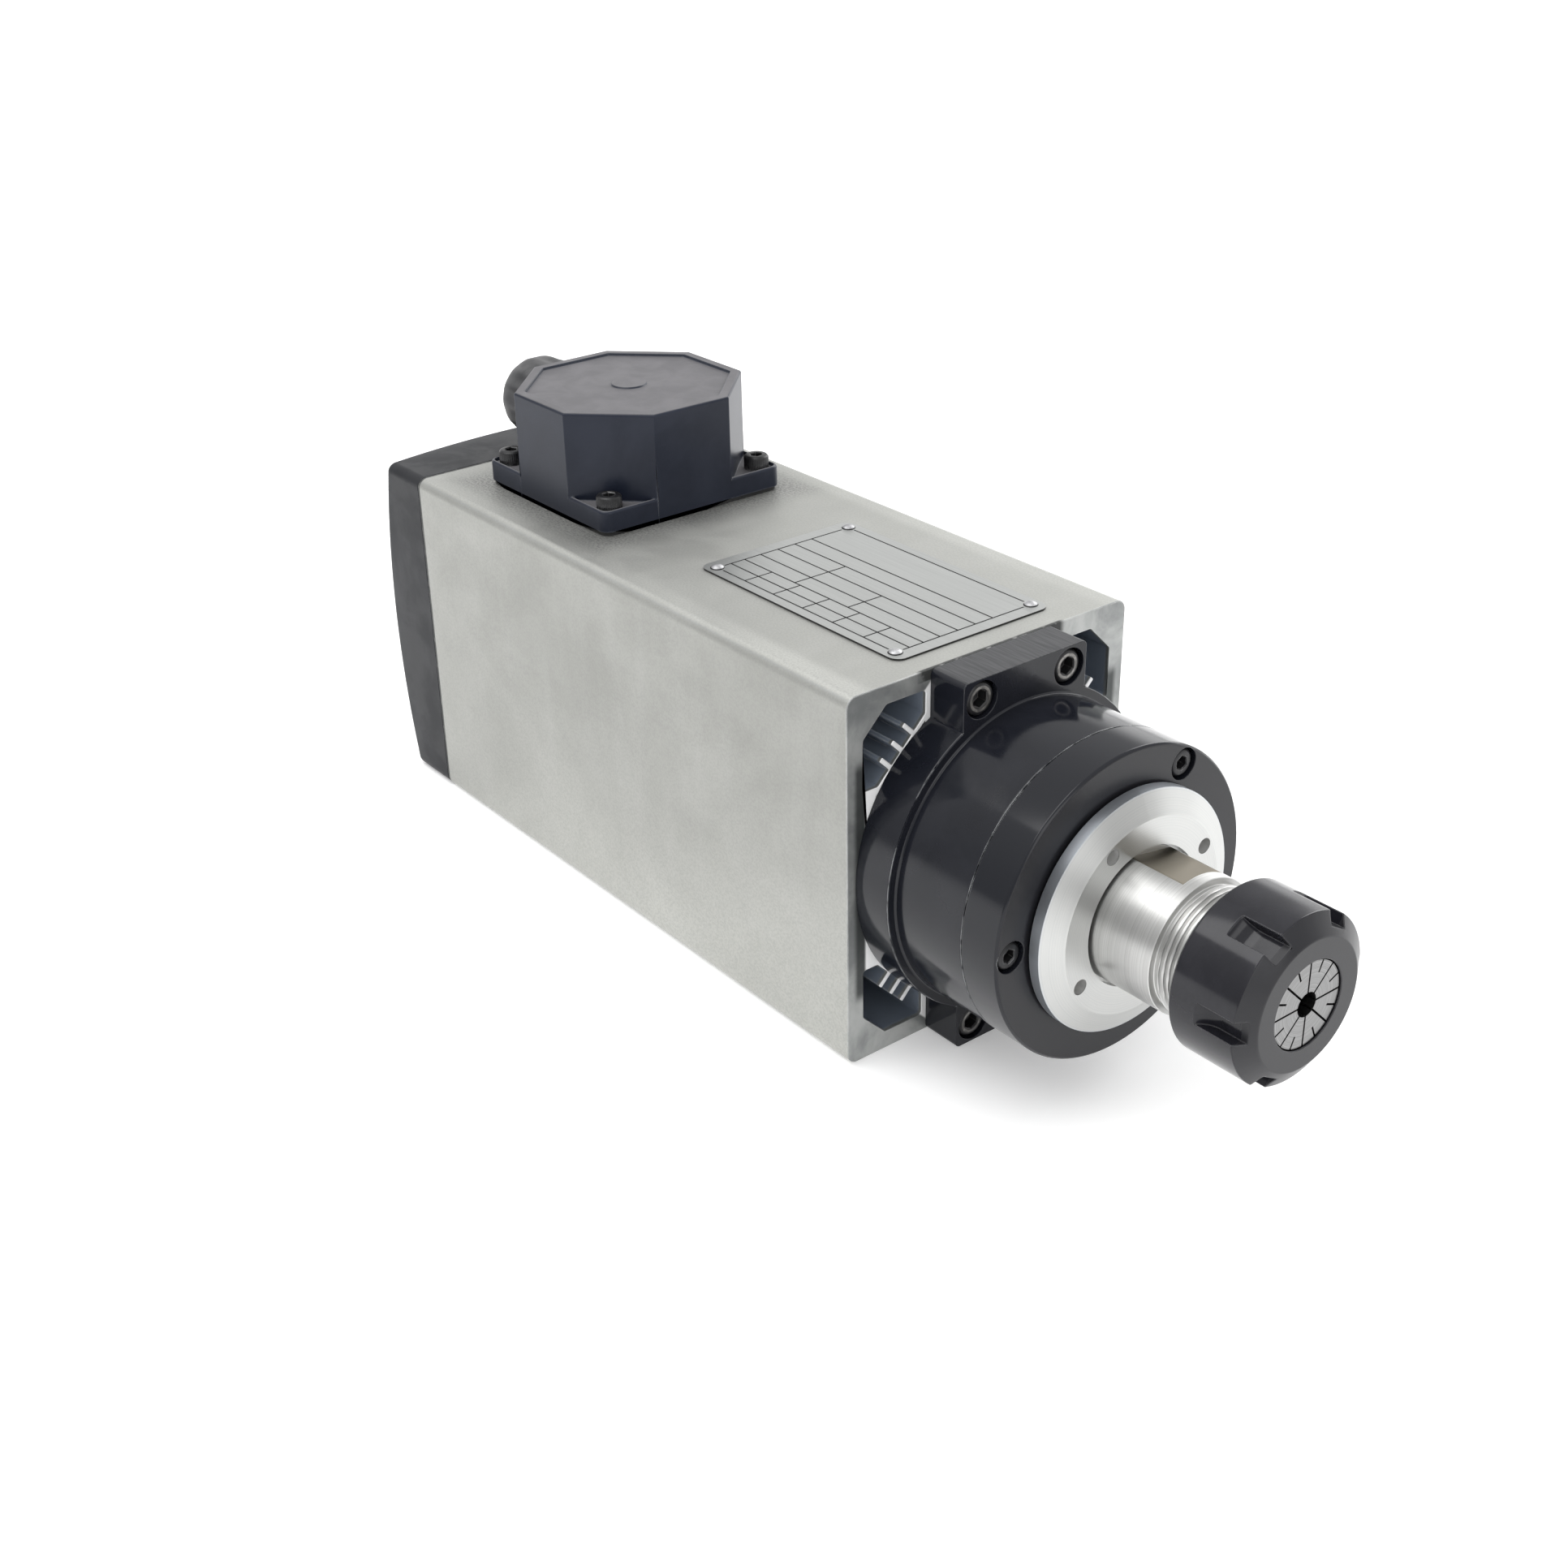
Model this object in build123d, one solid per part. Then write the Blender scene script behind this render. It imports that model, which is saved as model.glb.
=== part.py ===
from build123d import *
import math
import os

# Air-cooled motor spindle with an ER25 collet chuck.
# Millimetres. +X runs along the shaft towards the nose, +Z is up (terminal box side).
# The origin is the centre of the four mounting holes in the underside, and z = 0 is that face.

# ---------------------------------------------------------------- body extrusion
body_length = 195.0
body_width = 90.0
body_height = 100.0
body_edge_r = 3.0
side_wall = 5.0              # skin beside an air channel
top_wall = 5.0               # skin above or below an air channel
stator_bore_r = 34.0
sleeve_wall = 3.0            # ring of metal round the stator
cavity_depth = 4.2           # inner air gap between sleeve and finned web, at 45 degrees
spine_half_w = 21.0          # solid spine above and below the stator, half width
web_half_h = 24.5            # solid web at each side of the stator, half height
channel_bevel = 7.0          # bevelled outer corner of an air channel
channel_corner_r = 1.0
fin_web_t = 1.2
fin_count = 3
fin_t = 1.2
fin_out = 4.2
fin_in = 2.4
cavity_end_gap = 2.5         # how far the inner cavity runs below the side web's edge

# ---------------------------------------------------------------- fixings
m4_core_r = 1.65
m4_clear_r = 2.2
m4_head_r = 3.5
m4_head_h = 4.0
m4_key = 3.0
m5_core_r = 2.1
m5_clear_r = 2.75
m5_head_r = 4.25
m5_head_h = 5.0
m5_key = 4.0
m8_core_r = 3.4
counterbore_gap = 0.5        # radial room round a sunk screw head
counterbore_extra = 0.6      # how far a sunk head lies below the face
base_hole_spacing_x = 120.0
base_hole_spacing_y = 28.0
base_hole_depth = 11.0
front_screw_y = 14.0
front_screw_edge = 5.5       # screw centre below the ear's outer face
front_screw_len = 16.0       # thread in the extrusion
hole_runout = 1.0            # how much deeper a tapped hole is than its screw
fit_gap = 0.05               # static seats, radial
run_gap = 0.10               # threads and sliding seats between moving pieces, radial

# ---------------------------------------------------------------- front bearing housing and cap
flange_r = 42.5
flange_t = 11.5
ear_half_w = 19.7
ear_edge_r = 1.5
nose_r = 40.0
nose_length = 34.0           # body face to the joint with the cap
spigot_length = 12.0
cap_t = 11.5
cap_screw_count = 3
cap_screw_pcd_r = 35.5
cap_screw_start_deg = 60.0
cap_screw_len = 10.0         # thread in the housing
cap_spigot_t = 3.0
nose_edge = 0.6
joint_edge = 0.25            # broken edges where housing and cap meet
root_edge = 0.4              # where the nose grows out of the flange

# ---------------------------------------------------------------- bearings (bore r, outer r, width)
front_brg = (15.0, 27.5, 13.0)
front_ball_r = 3.6
front_ball_count = 12
rear_brg = (10.0, 21.0, 12.0)
rear_ball_r = 3.2
rear_ball_count = 9
ball_gap = 0.05
race_shoulder = 0.45         # race shoulder height as a share of the ball radius
cage_half_t = 0.85
cage_width_share = 0.72
brg_shoulder_in = 3.0        # how far the housing's inner shoulder stands over an outer ring
front_brg_start = 5.0        # rear side of the front pair, ahead of the body's face

# ---------------------------------------------------------------- shaft
collar_r = 17.0
collar_end = 69.5            # from the body's front face
flats_start = 50.5
flats_end = 66.5
flats_across = 31.0
flats_turn_deg = -10.0       # where the shaft happened to stop
nose_thread_r = 16.0
undercut_r = 15.2
undercut_w = 1.5
shaft_end = 91.5             # from the body's front face
taper_mouth_r = 13.0
taper_half_deg = 8.0
taper_length = 27.0
relief_r = 9.0
relief_depth = 12.0
drill_tip = 4.0
rotor_seat_r = 12.5
mid_seat_r = 14.0
mid_seat_length = 8.0
tail_r = 8.0
tail_length = 21.0           # behind the body's rear face
locknut_t = 9.0
locknut_r = 20.5
locknut_slots = 4
locknut_slot_w = 5.0
locknut_slot_d = 2.0

# ---------------------------------------------------------------- dust cap
dust_gap = 0.9               # running gap between cap face and dust cap
dust_rim_r = 30.75
dust_rim_w = 2.9
dust_face_r = 25.0
dust_cone_w = 2.7
dust_bore_r = 17.8
dust_bore_depth = 2.2
pin_hole_r = 2.0
pin_hole_depth = 3.0
pin_hole_count = 4
pin_hole_pcd_r = 22.6
pin_hole_start_deg = 30.0
labyrinth_in_r = 21.0
labyrinth_out_r = 25.0
labyrinth_lip = 3.2
labyrinth_gap = 0.6
shaft_hole_gap = 0.5

# ---------------------------------------------------------------- stator, rotor
stator_front_gap = 35.0      # from the body's front face
stator_rear_gap = 55.0       # from the body's rear face
stator_in_r = 20.6
stator_slots = 18
slot_root_r = 29.5
slot_mouth_r = 22.2
slot_w = 4.2
slot_opening = 1.6
copper_gap = 0.15
end_winding_l = 14.0
end_winding_out_r = 31.0
end_winding_in_r = 21.8
end_winding_edge = 3.0
rotor_r = 20.0
rotor_bars = 16
rotor_bar_r = 1.6
rotor_bar_pcd_r = 17.0
end_ring_t = 6.0
end_ring_in_r = 14.6
end_ring_out_r = 19.4

# ---------------------------------------------------------------- rear bearing plate
plate_t = 8.0
plate_side_gap = 0.5         # between the disc and the inside of the cover
plate_ear_gap = 2.0          # between the ears' tops and the inside of the cover
plate_screw_y = 14.0
plate_screw_edge = 5.0       # screw centre below the ear's outer face
plate_screw_len = 12.0
rear_brg_inset = 1.0         # rear bearing behind the body's rear face
spring_t = 2.0
plate_hole_gap = 2.5

# ---------------------------------------------------------------- fan
fan_tip_gap = 2.1            # between the fan and the plate's screw heads
fan_hub_r = 13.0
fan_disc_t = 2.0
fan_blade_h = 7.5
fan_blade_t = 1.6
fan_blades = 9
fan_blade_sweep_r = 34.0
fan_gap = 2.0                # between plate and fan
circlip_t = 1.2
circlip_r = 10.5

# ---------------------------------------------------------------- rear cover
cover_depth = 29.0           # at the crown
cover_dome_r = 220.0
cover_wall = 3.0
cover_edge_r = 2.5
cover_screw_inset = 5.0
cover_boss_r = 4.8
cover_screw_grip = 8.0
cover_screw_len = 10.0
grille_rings = 4
grille_first_r = 10.0
grille_pitch = 6.4
grille_slot_w = 3.2
grille_spokes = 6
grille_spoke_w = 4.0

# ---------------------------------------------------------------- terminal box and cable gland
box_size = 60.0
box_from_rear = 46.0         # box centre ahead of the body's rear face
box_height = 29.5
box_wall = 2.5
box_pad_h = 6.0
box_corner_r = 3.0
box_edge_r = 0.8
box_screw_inset = 5.0        # screw centre inside the flange's edges
box_screw_len = 4.5          # thread in the body's skin
pad_lip = 1.0                # raised edge left round each corner's pocket
pad_pocket_d = 1.0
box_panel_rim = 3.0
box_panel_d = 0.8
box_button_r = 5.0
box_button_h = 0.5
gasket_t = 1.0
gasket_w = 4.0
gasket_inset = 0.5
lead_hole_r = 7.0
wire_r = 1.3
wire_count = 3
wire_pitch = 4.0
block_l = 22.0
block_w = 12.0
block_h = 11.0
block_hole_gap = 1.0         # between the block and the lead hole
block_screw_r = 2.2
block_screw_h = 1.5
gland_height = 14.0          # axis above the body's top face, less the gasket
gland_thread_r = 7.9
gland_hex = 24.0
gland_hex_t = 5.0
gland_neck_l = 10.5
gland_neck_r = 9.0
gland_bore_r = 6.0
gland_nut_r = 12.5
gland_nut_l = 18.0
gland_mouth_r = 6.0
gland_nut_gap = 0.5
seal_bore_r = 4.0
locknut_hex = 20.0
gland_locknut_t = 4.0

# ---------------------------------------------------------------- nameplate
plate_size_x = 78.0
plate_size_y = 50.0
plate_corner_r = 3.0
plate_thick = 0.5
plate_from_front = 46.5
plate_shift_y = 1.5
rivet_spacing_x = 70.0
rivet_spacing_y = 44.0
rivet_r = 1.1
rivet_head_r = 1.9
rivet_head_h = 0.9
rivet_depth = 3.5

# ---------------------------------------------------------------- collet and nut
collet_face = 99.3           # from the body's front face
collet_face_r = 10.6
collet_lip_r = 12.2
collet_cone_deg = 30.0
collet_groove_r = 11.2
collet_groove_w = 3.2
collet_length = 34.0
collet_big_gap = 0.5         # big end of the collet ahead of the shaft's end
collet_bore_r = 3.0
collet_bore_l = 24.0
collet_relief_r = 4.2
collet_slot_w = 0.5
collet_slots = 8
collet_slot_end = 4.5        # metal left at the end of a slot
collet_nick_r = 7.6
nut_r = 21.0
nut_length = 21.5
nut_face = 99.8              # from the body's front face
nut_face_r = 16.2
nut_bevel_l = 3.1
nut_mouth_gap = 0.3
nut_back_edge = 1.0
nut_slots = 6
nut_slot_w = 5.5
nut_slot_d = 3.2
nut_slot_l = 13.4
nut_slot_runout = 5.0
lip_shift = 0.5              # how far the pull-out lip is off centre
lip_t = 2.0

# ---------------------------------------------------------------- places worked out from the sizes
axis_z = body_height / 2
front_x = body_length / 2
rear_x = -front_x
half_w = body_width / 2
half_h = body_height / 2
cap_x = front_x + nose_length
cap_front_x = cap_x + cap_t
dust_x = cap_front_x + dust_gap
dust_front_x = dust_x + dust_rim_w + dust_cone_w
brg_x = front_x + front_brg_start
stator_x = front_x - stator_front_gap
stator_back_x = rear_x + stator_rear_gap
lead_x = stator_back_x - end_winding_l / 2
box_x = rear_x + box_from_rear
box_z = body_height + gasket_t
plate_ear_top = half_h - cover_wall - plate_ear_gap
plate_screw_z = plate_ear_top - plate_screw_edge
plate_r = half_w - cover_wall - plate_side_gap
fan_r = math.hypot(plate_screw_y, plate_screw_z) - m5_head_r - fan_tip_gap
box_screw_spacing = box_size - 2 * box_screw_inset
gland_x = box_x - box_size / 2
gland_z = box_z + gland_height
shaft_axis = Axis((0, 0, axis_z), (1, 0, 0))

os.makedirs("parts", exist_ok=True)


def turned(profile):
    """Revolve a closed list of (x, r) points about the shaft axis."""
    wire = Polyline(*[(x, 0, axis_z + r) for x, r in profile], close=True)
    return revolve(make_face(wire), shaft_axis, 360)


def rod_x(r, x_a, x_b, y=0.0, z=0.0):
    """Cylinder along X; y and z are measured from the shaft axis."""
    return Pos((x_a + x_b) / 2, y, axis_z + z) * Rot(0, 90, 0) * Cylinder(r, abs(x_b - x_a))


def rod_z(r, z_a, z_b, x, y):
    """Upright cylinder between two heights."""
    return Pos(x, y, (z_a + z_b) / 2) * Cylinder(r, abs(z_b - z_a))


def slab(x_a, x_b, y_a, y_b, z_a, z_b):
    """Box between two corners."""
    return Pos((x_a + x_b) / 2, (y_a + y_b) / 2, (z_a + z_b) / 2) * Box(
        abs(x_b - x_a), abs(y_b - y_a), abs(z_b - z_a))


def section(sketch, x_a, x_b):
    """Extrude a sketch drawn in (y, z from the shaft axis) between two x places."""
    plane = Plane(origin=(x_a, 0, axis_z), x_dir=(0, 1, 0), z_dir=(1, 0, 0))
    return extrude(plane * sketch, x_b - x_a)


def on_circle(r, deg):
    """Point (y, z) on a circle round the shaft axis."""
    return r * math.cos(math.radians(deg)), r * math.sin(math.radians(deg))


def four(y, z):
    """The four mirrored places (y, z) round the shaft axis."""
    return [(sy * y, sz * z) for sy in (-1, 1) for sz in (-1, 1)]


def cap_screw(head_r, head_h, core_r, length, key):
    """Socket head screw, head up from z = 0 and shank down."""
    edge = head_h * 0.12
    screw = Pos(0, 0, head_h / 2) * Cylinder(head_r, head_h)
    rim = screw.edges().filter_by(GeomType.CIRCLE).sort_by(Axis.Z)[-1]
    screw = chamfer(rim, edge)
    socket = extrude(Pos(0, 0, head_h) * RegularPolygon(key / 2, 6, major_radius=False), -head_h * 0.6)
    return screw - socket + Pos(0, 0, -length / 2) * Cylinder(core_r, length)


def group(solids):
    """Several separate solids in one node."""
    return Compound(children=list(solids))


def save(node, shape):
    export_step(shape, "parts/" + node + ".step")


# ---------------------------------------------------------------- body extrusion
fin_web_r = stator_bore_r + sleeve_wall + cavity_depth + fin_web_t / 2
fin_from = math.sqrt(2) * web_half_h - fin_web_r
fin_to = fin_web_r - math.sqrt(2) * spine_half_w
fin_places = [fin_from + (i + 1) * (fin_to - fin_from) / (fin_count + 1) for i in range(fin_count)]


def corner_fins():
    """Fins across the web of the +Y +Z corner, one end in the channel and one in the cavity."""
    fin_mid = fin_web_r + (fin_out - fin_in) / 2
    fin = Rectangle(fin_out + fin_in + fin_web_t, fin_t)
    return Sketch() + [Rot(0, 0, 45) * Pos(fin_mid, place) * fin for place in fin_places]


def rounded(outline, radius):
    """Round a flat outline's corners, by less where a side is too short for the full radius."""
    shortest = min(edge.length for edge in outline.edges())
    return fillet(outline.vertices(), min(radius, 0.4 * shortest))


def beyond(reach):
    """Everything in the +Y +Z corner that lies further out than the 45 degree line at this reach."""
    return Rot(0, 0, 45) * Pos(reach + body_height, 0) * Rectangle(2 * body_height, 4 * body_height)


def block_between(y_a, y_b, z_a, z_b):
    """Rectangle between two corners of the cross-section."""
    return Pos((y_a + y_b) / 2, (z_a + z_b) / 2) * Rectangle(y_b - y_a, z_b - z_a)


def corner_openings():
    """Air channel and inner cavity in the +Y +Z corner, with the finned web left between them."""
    y_out = half_w - side_wall
    z_out = half_h - top_wall
    bevel_reach = (y_out + z_out - channel_bevel) / math.sqrt(2)
    channel = block_between(spine_half_w, y_out, web_half_h, z_out)
    channel = rounded((channel & beyond(fin_web_r + fin_web_t / 2)) - beyond(bevel_reach), channel_corner_r)
    cavity = block_between(spine_half_w, y_out, web_half_h - cavity_end_gap, z_out)
    cavity = cavity - beyond(fin_web_r - fin_web_t / 2) - Circle(stator_bore_r + sleeve_wall)
    return channel - corner_fins(), cavity - corner_fins()


profile = RectangleRounded(body_width, body_height, body_edge_r) - Circle(stator_bore_r)
for opening in corner_openings():
    side_by_side = opening + mirror(opening, Plane.YZ)
    profile -= side_by_side
    profile -= mirror(side_by_side, Plane.XZ)
body = section(profile, rear_x, front_x)

front_screw_z = half_h - front_screw_edge
cover_screw_y = half_w - cover_screw_inset
cover_screw_z = half_h - cover_screw_inset
box_screw_xy = [(box_x + sx * box_screw_spacing / 2, sy * box_screw_spacing / 2)
                for sx in (-1, 1) for sy in (-1, 1)]
plate_x = front_x - plate_from_front
rivet_xy = [(plate_x + sx * rivet_spacing_x / 2, plate_shift_y + sy * rivet_spacing_y / 2)
            for sx in (-1, 1) for sy in (-1, 1)]
for y, z in four(front_screw_y, front_screw_z):
    body -= rod_x(m5_core_r, front_x - front_screw_len - hole_runout, front_x, y, z)
for y, z in four(plate_screw_y, plate_screw_z):
    body -= rod_x(m5_core_r, rear_x, rear_x + plate_screw_len + hole_runout, y, z)
for y, z in four(cover_screw_y, cover_screw_z):
    body -= rod_x(m4_core_r, rear_x, rear_x + cover_screw_len + hole_runout, y, z)
for sx in (-1, 1):
    for sy in (-1, 1):
        body -= rod_z(m8_core_r, 0, base_hole_depth, sx * base_hole_spacing_x / 2,
                      sy * base_hole_spacing_y / 2)
for x, y in box_screw_xy:
    body -= rod_z(m4_core_r, body_height - top_wall, body_height, x, y)
for x, y in rivet_xy:
    body -= rod_z(rivet_r, body_height - rivet_depth, body_height, x, y)
body -= rod_z(lead_hole_r, axis_z + stator_bore_r / 2, body_height, lead_x, 0)
save("body_extrusion", body)

# ---------------------------------------------------------------- front bearing housing
brg_bore, brg_out, brg_w = front_brg
brg_end_x = brg_x + 2 * brg_w
housing = turned([
    (front_x - spigot_length, brg_out - brg_shoulder_in), (front_x - spigot_length, stator_bore_r - fit_gap),
    (front_x, stator_bore_r - fit_gap), (front_x, flange_r), (front_x + flange_t - joint_edge, flange_r),
    (front_x + flange_t, flange_r - joint_edge), (front_x + flange_t, nose_r + root_edge),
    (front_x + flange_t + root_edge, nose_r), (cap_x - joint_edge, nose_r), (cap_x, nose_r - joint_edge),
    (cap_x, brg_out),
    (brg_x, brg_out), (brg_x, brg_out - brg_shoulder_in)])
ears = section(RectangleRounded(2 * ear_half_w, body_height, ear_edge_r) - Circle(nose_r - fit_gap),
               front_x, front_x + flange_t)
housing = housing + ears
for y, z in four(front_screw_y, front_screw_z):
    housing -= rod_x(m5_clear_r, front_x, front_x + flange_t, y, z)
    housing -= rod_x(m5_head_r + counterbore_gap, front_x + flange_t - m5_head_h - counterbore_extra,
                     front_x + flange_t, y, z)
cap_screw_yz = [on_circle(cap_screw_pcd_r, cap_screw_start_deg + i * 360 / cap_screw_count)
                for i in range(cap_screw_count)]
for y, z in cap_screw_yz:
    housing -= rod_x(m4_core_r, cap_x - cap_screw_len - hole_runout, cap_x, y, z)
save("front_bearing_housing", housing)

front_seat_x = front_x + flange_t - m5_head_h - counterbore_extra
front_screw = cap_screw(m5_head_r, m5_head_h, m5_core_r, front_seat_x - front_x + front_screw_len, m5_key)
save("housing_screws", group(Pos(front_seat_x, y, axis_z + z) * Rot(0, 90, 0) * front_screw
                             for y, z in four(front_screw_y, front_screw_z)))

# ---------------------------------------------------------------- front cap and its screws
cap_bore_r = collar_r + shaft_hole_gap
groove_in = labyrinth_in_r - labyrinth_gap
groove_out = labyrinth_out_r + labyrinth_gap
groove_x = cap_front_x - labyrinth_lip + dust_gap - labyrinth_gap
cap = turned([
    (cap_x, cap_bore_r), (cap_x, brg_out - brg_shoulder_in),
    (cap_x - cap_spigot_t, brg_out - brg_shoulder_in),
    (cap_x - cap_spigot_t, brg_out - fit_gap), (cap_x, brg_out - fit_gap), (cap_x, nose_r - joint_edge),
    (cap_x + joint_edge, nose_r),
    (cap_front_x - nose_edge, nose_r), (cap_front_x, nose_r - nose_edge), (cap_front_x, groove_out),
    (groove_x, groove_out), (groove_x, groove_in), (cap_front_x, groove_in), (cap_front_x, cap_bore_r)])
cap_seat_x = cap_front_x - m4_head_h - counterbore_extra
for y, z in cap_screw_yz:
    cap -= rod_x(m4_clear_r, cap_x, cap_front_x, y, z)
    cap -= rod_x(m4_head_r + counterbore_gap, cap_seat_x, cap_front_x, y, z)
save("front_cap", cap)
nose_screw = cap_screw(m4_head_r, m4_head_h, m4_core_r, cap_seat_x - cap_x + cap_screw_len, m4_key)
save("front_cap_screws", group(Pos(cap_seat_x, y, axis_z + z) * Rot(0, 90, 0) * nose_screw
                               for y, z in cap_screw_yz))

# ---------------------------------------------------------------- dust cap
dust_cap = turned([
    (dust_x, collar_r + fit_gap), (dust_x, labyrinth_in_r), (dust_x - labyrinth_lip, labyrinth_in_r),
    (dust_x - labyrinth_lip, labyrinth_out_r), (dust_x, labyrinth_out_r), (dust_x, dust_rim_r),
    (dust_x + dust_rim_w, dust_rim_r), (dust_front_x, dust_face_r), (dust_front_x, dust_bore_r),
    (dust_front_x - dust_bore_depth, dust_bore_r), (dust_front_x - dust_bore_depth, collar_r + fit_gap)])
for i in range(pin_hole_count):
    y, z = on_circle(pin_hole_pcd_r, pin_hole_start_deg + i * 360 / pin_hole_count)
    dust_cap -= rod_x(pin_hole_r, dust_front_x - pin_hole_depth, dust_front_x, y, z)
save("dust_cap", dust_cap)

# ---------------------------------------------------------------- bearings


def bearing_parts(sizes, ball_r, ball_count, x_start):
    """Outer ring, inner ring, cage and balls of one ball bearing."""
    bore, outside, width = sizes
    pitch_r = (bore + outside) / 2
    mid_x = x_start + width / 2
    shoulder = race_shoulder * ball_r
    groove = Pos(mid_x, 0, axis_z) * Rot(0, 90, 0) * Torus(pitch_r, ball_r + ball_gap)
    outer = turned([(x_start, pitch_r + shoulder), (x_start, outside - fit_gap),
                    (x_start + width, outside - fit_gap), (x_start + width, pitch_r + shoulder)]) - groove
    inner = turned([(x_start, bore + fit_gap), (x_start, pitch_r - shoulder),
                    (x_start + width, pitch_r - shoulder), (x_start + width, bore + fit_gap)]) - groove
    cage_w = cage_width_share * width
    cage = turned([(mid_x - cage_w / 2, pitch_r - cage_half_t), (mid_x - cage_w / 2, pitch_r + cage_half_t),
                   (mid_x + cage_w / 2, pitch_r + cage_half_t), (mid_x + cage_w / 2, pitch_r - cage_half_t)])
    balls = []
    for i in range(ball_count):
        y, z = on_circle(pitch_r, i * 360 / ball_count)
        balls.append(Pos(mid_x, y, axis_z + z) * Sphere(ball_r))
        cage -= Pos(mid_x, y, axis_z + z) * Sphere(ball_r + 2 * ball_gap)
    return outer, inner, cage, group(balls)


rear_brg_x = rear_x + rear_brg_inset
bearings = {
    "front_bearing_1": (front_brg, front_ball_r, front_ball_count, brg_x + brg_w),
    "front_bearing_2": (front_brg, front_ball_r, front_ball_count, brg_x),
    "rear_bearing": (rear_brg, rear_ball_r, rear_ball_count, rear_brg_x)}
for name, spec in bearings.items():
    for suffix, shape in zip(("outer_ring", "inner_ring", "cage", "balls"), bearing_parts(*spec)):
        save(name + "_" + suffix, shape)

# ---------------------------------------------------------------- spindle shaft
shaft_end_x = front_x + shaft_end
collar_end_x = front_x + collar_end
mid_x = brg_x - locknut_t
rotor_front_x = mid_x - mid_seat_length
rear_seat_x = rear_brg_x + rear_brg[2]
taper_root_r = taper_mouth_r - taper_length * math.tan(math.radians(taper_half_deg))
taper_root_x = shaft_end_x - taper_length
relief_x = taper_root_x - relief_depth
shaft = turned([
    (rear_x - tail_length, 0), (rear_x - tail_length, tail_r - nose_edge),
    (rear_x - tail_length + nose_edge, tail_r),
    (rear_brg_x, tail_r), (rear_brg_x, rear_brg[0]), (rear_seat_x, rear_brg[0]), (rear_seat_x, rotor_seat_r),
    (rotor_front_x, rotor_seat_r), (rotor_front_x, mid_seat_r), (mid_x, mid_seat_r), (mid_x, brg_bore),
    (brg_end_x, brg_bore), (brg_end_x, collar_r), (collar_end_x, collar_r), (collar_end_x, undercut_r),
    (collar_end_x + undercut_w, undercut_r), (collar_end_x + undercut_w, nose_thread_r),
    (shaft_end_x - nose_edge, nose_thread_r), (shaft_end_x, nose_thread_r - nose_edge),
    (shaft_end_x, taper_mouth_r), (taper_root_x, taper_root_r), (taper_root_x, relief_r),
    (relief_x, relief_r), (relief_x - drill_tip, 0)])
flat_turn = Rot(flats_turn_deg, 0, 0)
for side in (-1, 1):
    flat = slab(front_x + flats_start, front_x + flats_end, -collar_r, collar_r,
                side * flats_across / 2, side * (collar_r + 1))
    shaft -= Pos(0, 0, axis_z) * flat_turn * flat
save("spindle_shaft", shaft)

locknut = turned([(mid_x, brg_bore + fit_gap), (mid_x, locknut_r), (brg_x, locknut_r),
                  (brg_x, brg_bore + fit_gap)])
for i in range(locknut_slots):
    y, z = on_circle(locknut_r, i * 360 / locknut_slots)
    notch = Pos((mid_x + brg_x) / 2, y, axis_z + z) * Rot(i * 360 / locknut_slots, 0, 0) * Box(
        locknut_t, 2 * locknut_slot_d, locknut_slot_w)
    locknut -= notch
save("bearing_locknut", locknut)

# ---------------------------------------------------------------- stator
slot_mid_r = (slot_root_r + slot_mouth_r) / 2
slot_h = slot_root_r - slot_mouth_r
slot = Pos(slot_mid_r, 0) * RectangleRounded(slot_h, slot_w, slot_w / 3)
mouth_h = slot_mouth_r - stator_in_r
slot_mouth = Pos(slot_mouth_r - mouth_h / 2, 0) * Rectangle(2 * mouth_h, slot_opening)
core_profile = Circle(stator_bore_r - fit_gap) - Circle(stator_in_r)
copper_profile = Sketch()
copper = Pos(slot_mid_r, 0) * RectangleRounded(
    slot_h - 2 * copper_gap, slot_w - 2 * copper_gap, slot_w / 3 - copper_gap)
for i in range(stator_slots):
    turn = Rot(0, 0, i * 360 / stator_slots)
    core_profile -= turn * (slot + slot_mouth)
    copper_profile += turn * copper
save("stator_core", section(core_profile, stator_back_x, stator_x))


def end_winding(x_core, direction):
    """Rounded copper ring at one end of the core."""
    x_far = x_core + direction * end_winding_l
    ring = turned([(x_core, end_winding_in_r), (x_core, end_winding_out_r), (x_far, end_winding_out_r),
                   (x_far, end_winding_in_r)])
    far_edges = [e for e in ring.edges().filter_by(GeomType.CIRCLE) if abs(e.center().X - x_far) < 0.01]
    return fillet(far_edges, end_winding_edge)


winding = section(copper_profile, stator_back_x, stator_x)
save("stator_winding", winding + end_winding(stator_back_x, -1) + end_winding(stator_x, 1))

# ---------------------------------------------------------------- rotor
core = turned([(stator_back_x, rotor_seat_r + fit_gap), (stator_back_x, rotor_r), (stator_x, rotor_r),
               (stator_x, rotor_seat_r + fit_gap)])
cage_bars = []
for i in range(rotor_bars):
    y, z = on_circle(rotor_bar_pcd_r, i * 360 / rotor_bars)
    cage_bars.append(rod_x(rotor_bar_r, stator_back_x, stator_x, y, z))
    core -= cage_bars[-1]
save("rotor_core", core)
squirrel_cage = turned([(stator_x, end_ring_in_r), (stator_x, end_ring_out_r),
                        (stator_x + end_ring_t, end_ring_out_r), (stator_x + end_ring_t, end_ring_in_r)])
squirrel_cage += turned([(stator_back_x, end_ring_in_r), (stator_back_x, end_ring_out_r),
                         (stator_back_x - end_ring_t, end_ring_out_r),
                         (stator_back_x - end_ring_t, end_ring_in_r)])
for bar in cage_bars:
    squirrel_cage += bar
save("rotor_cage", squirrel_cage)

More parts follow.
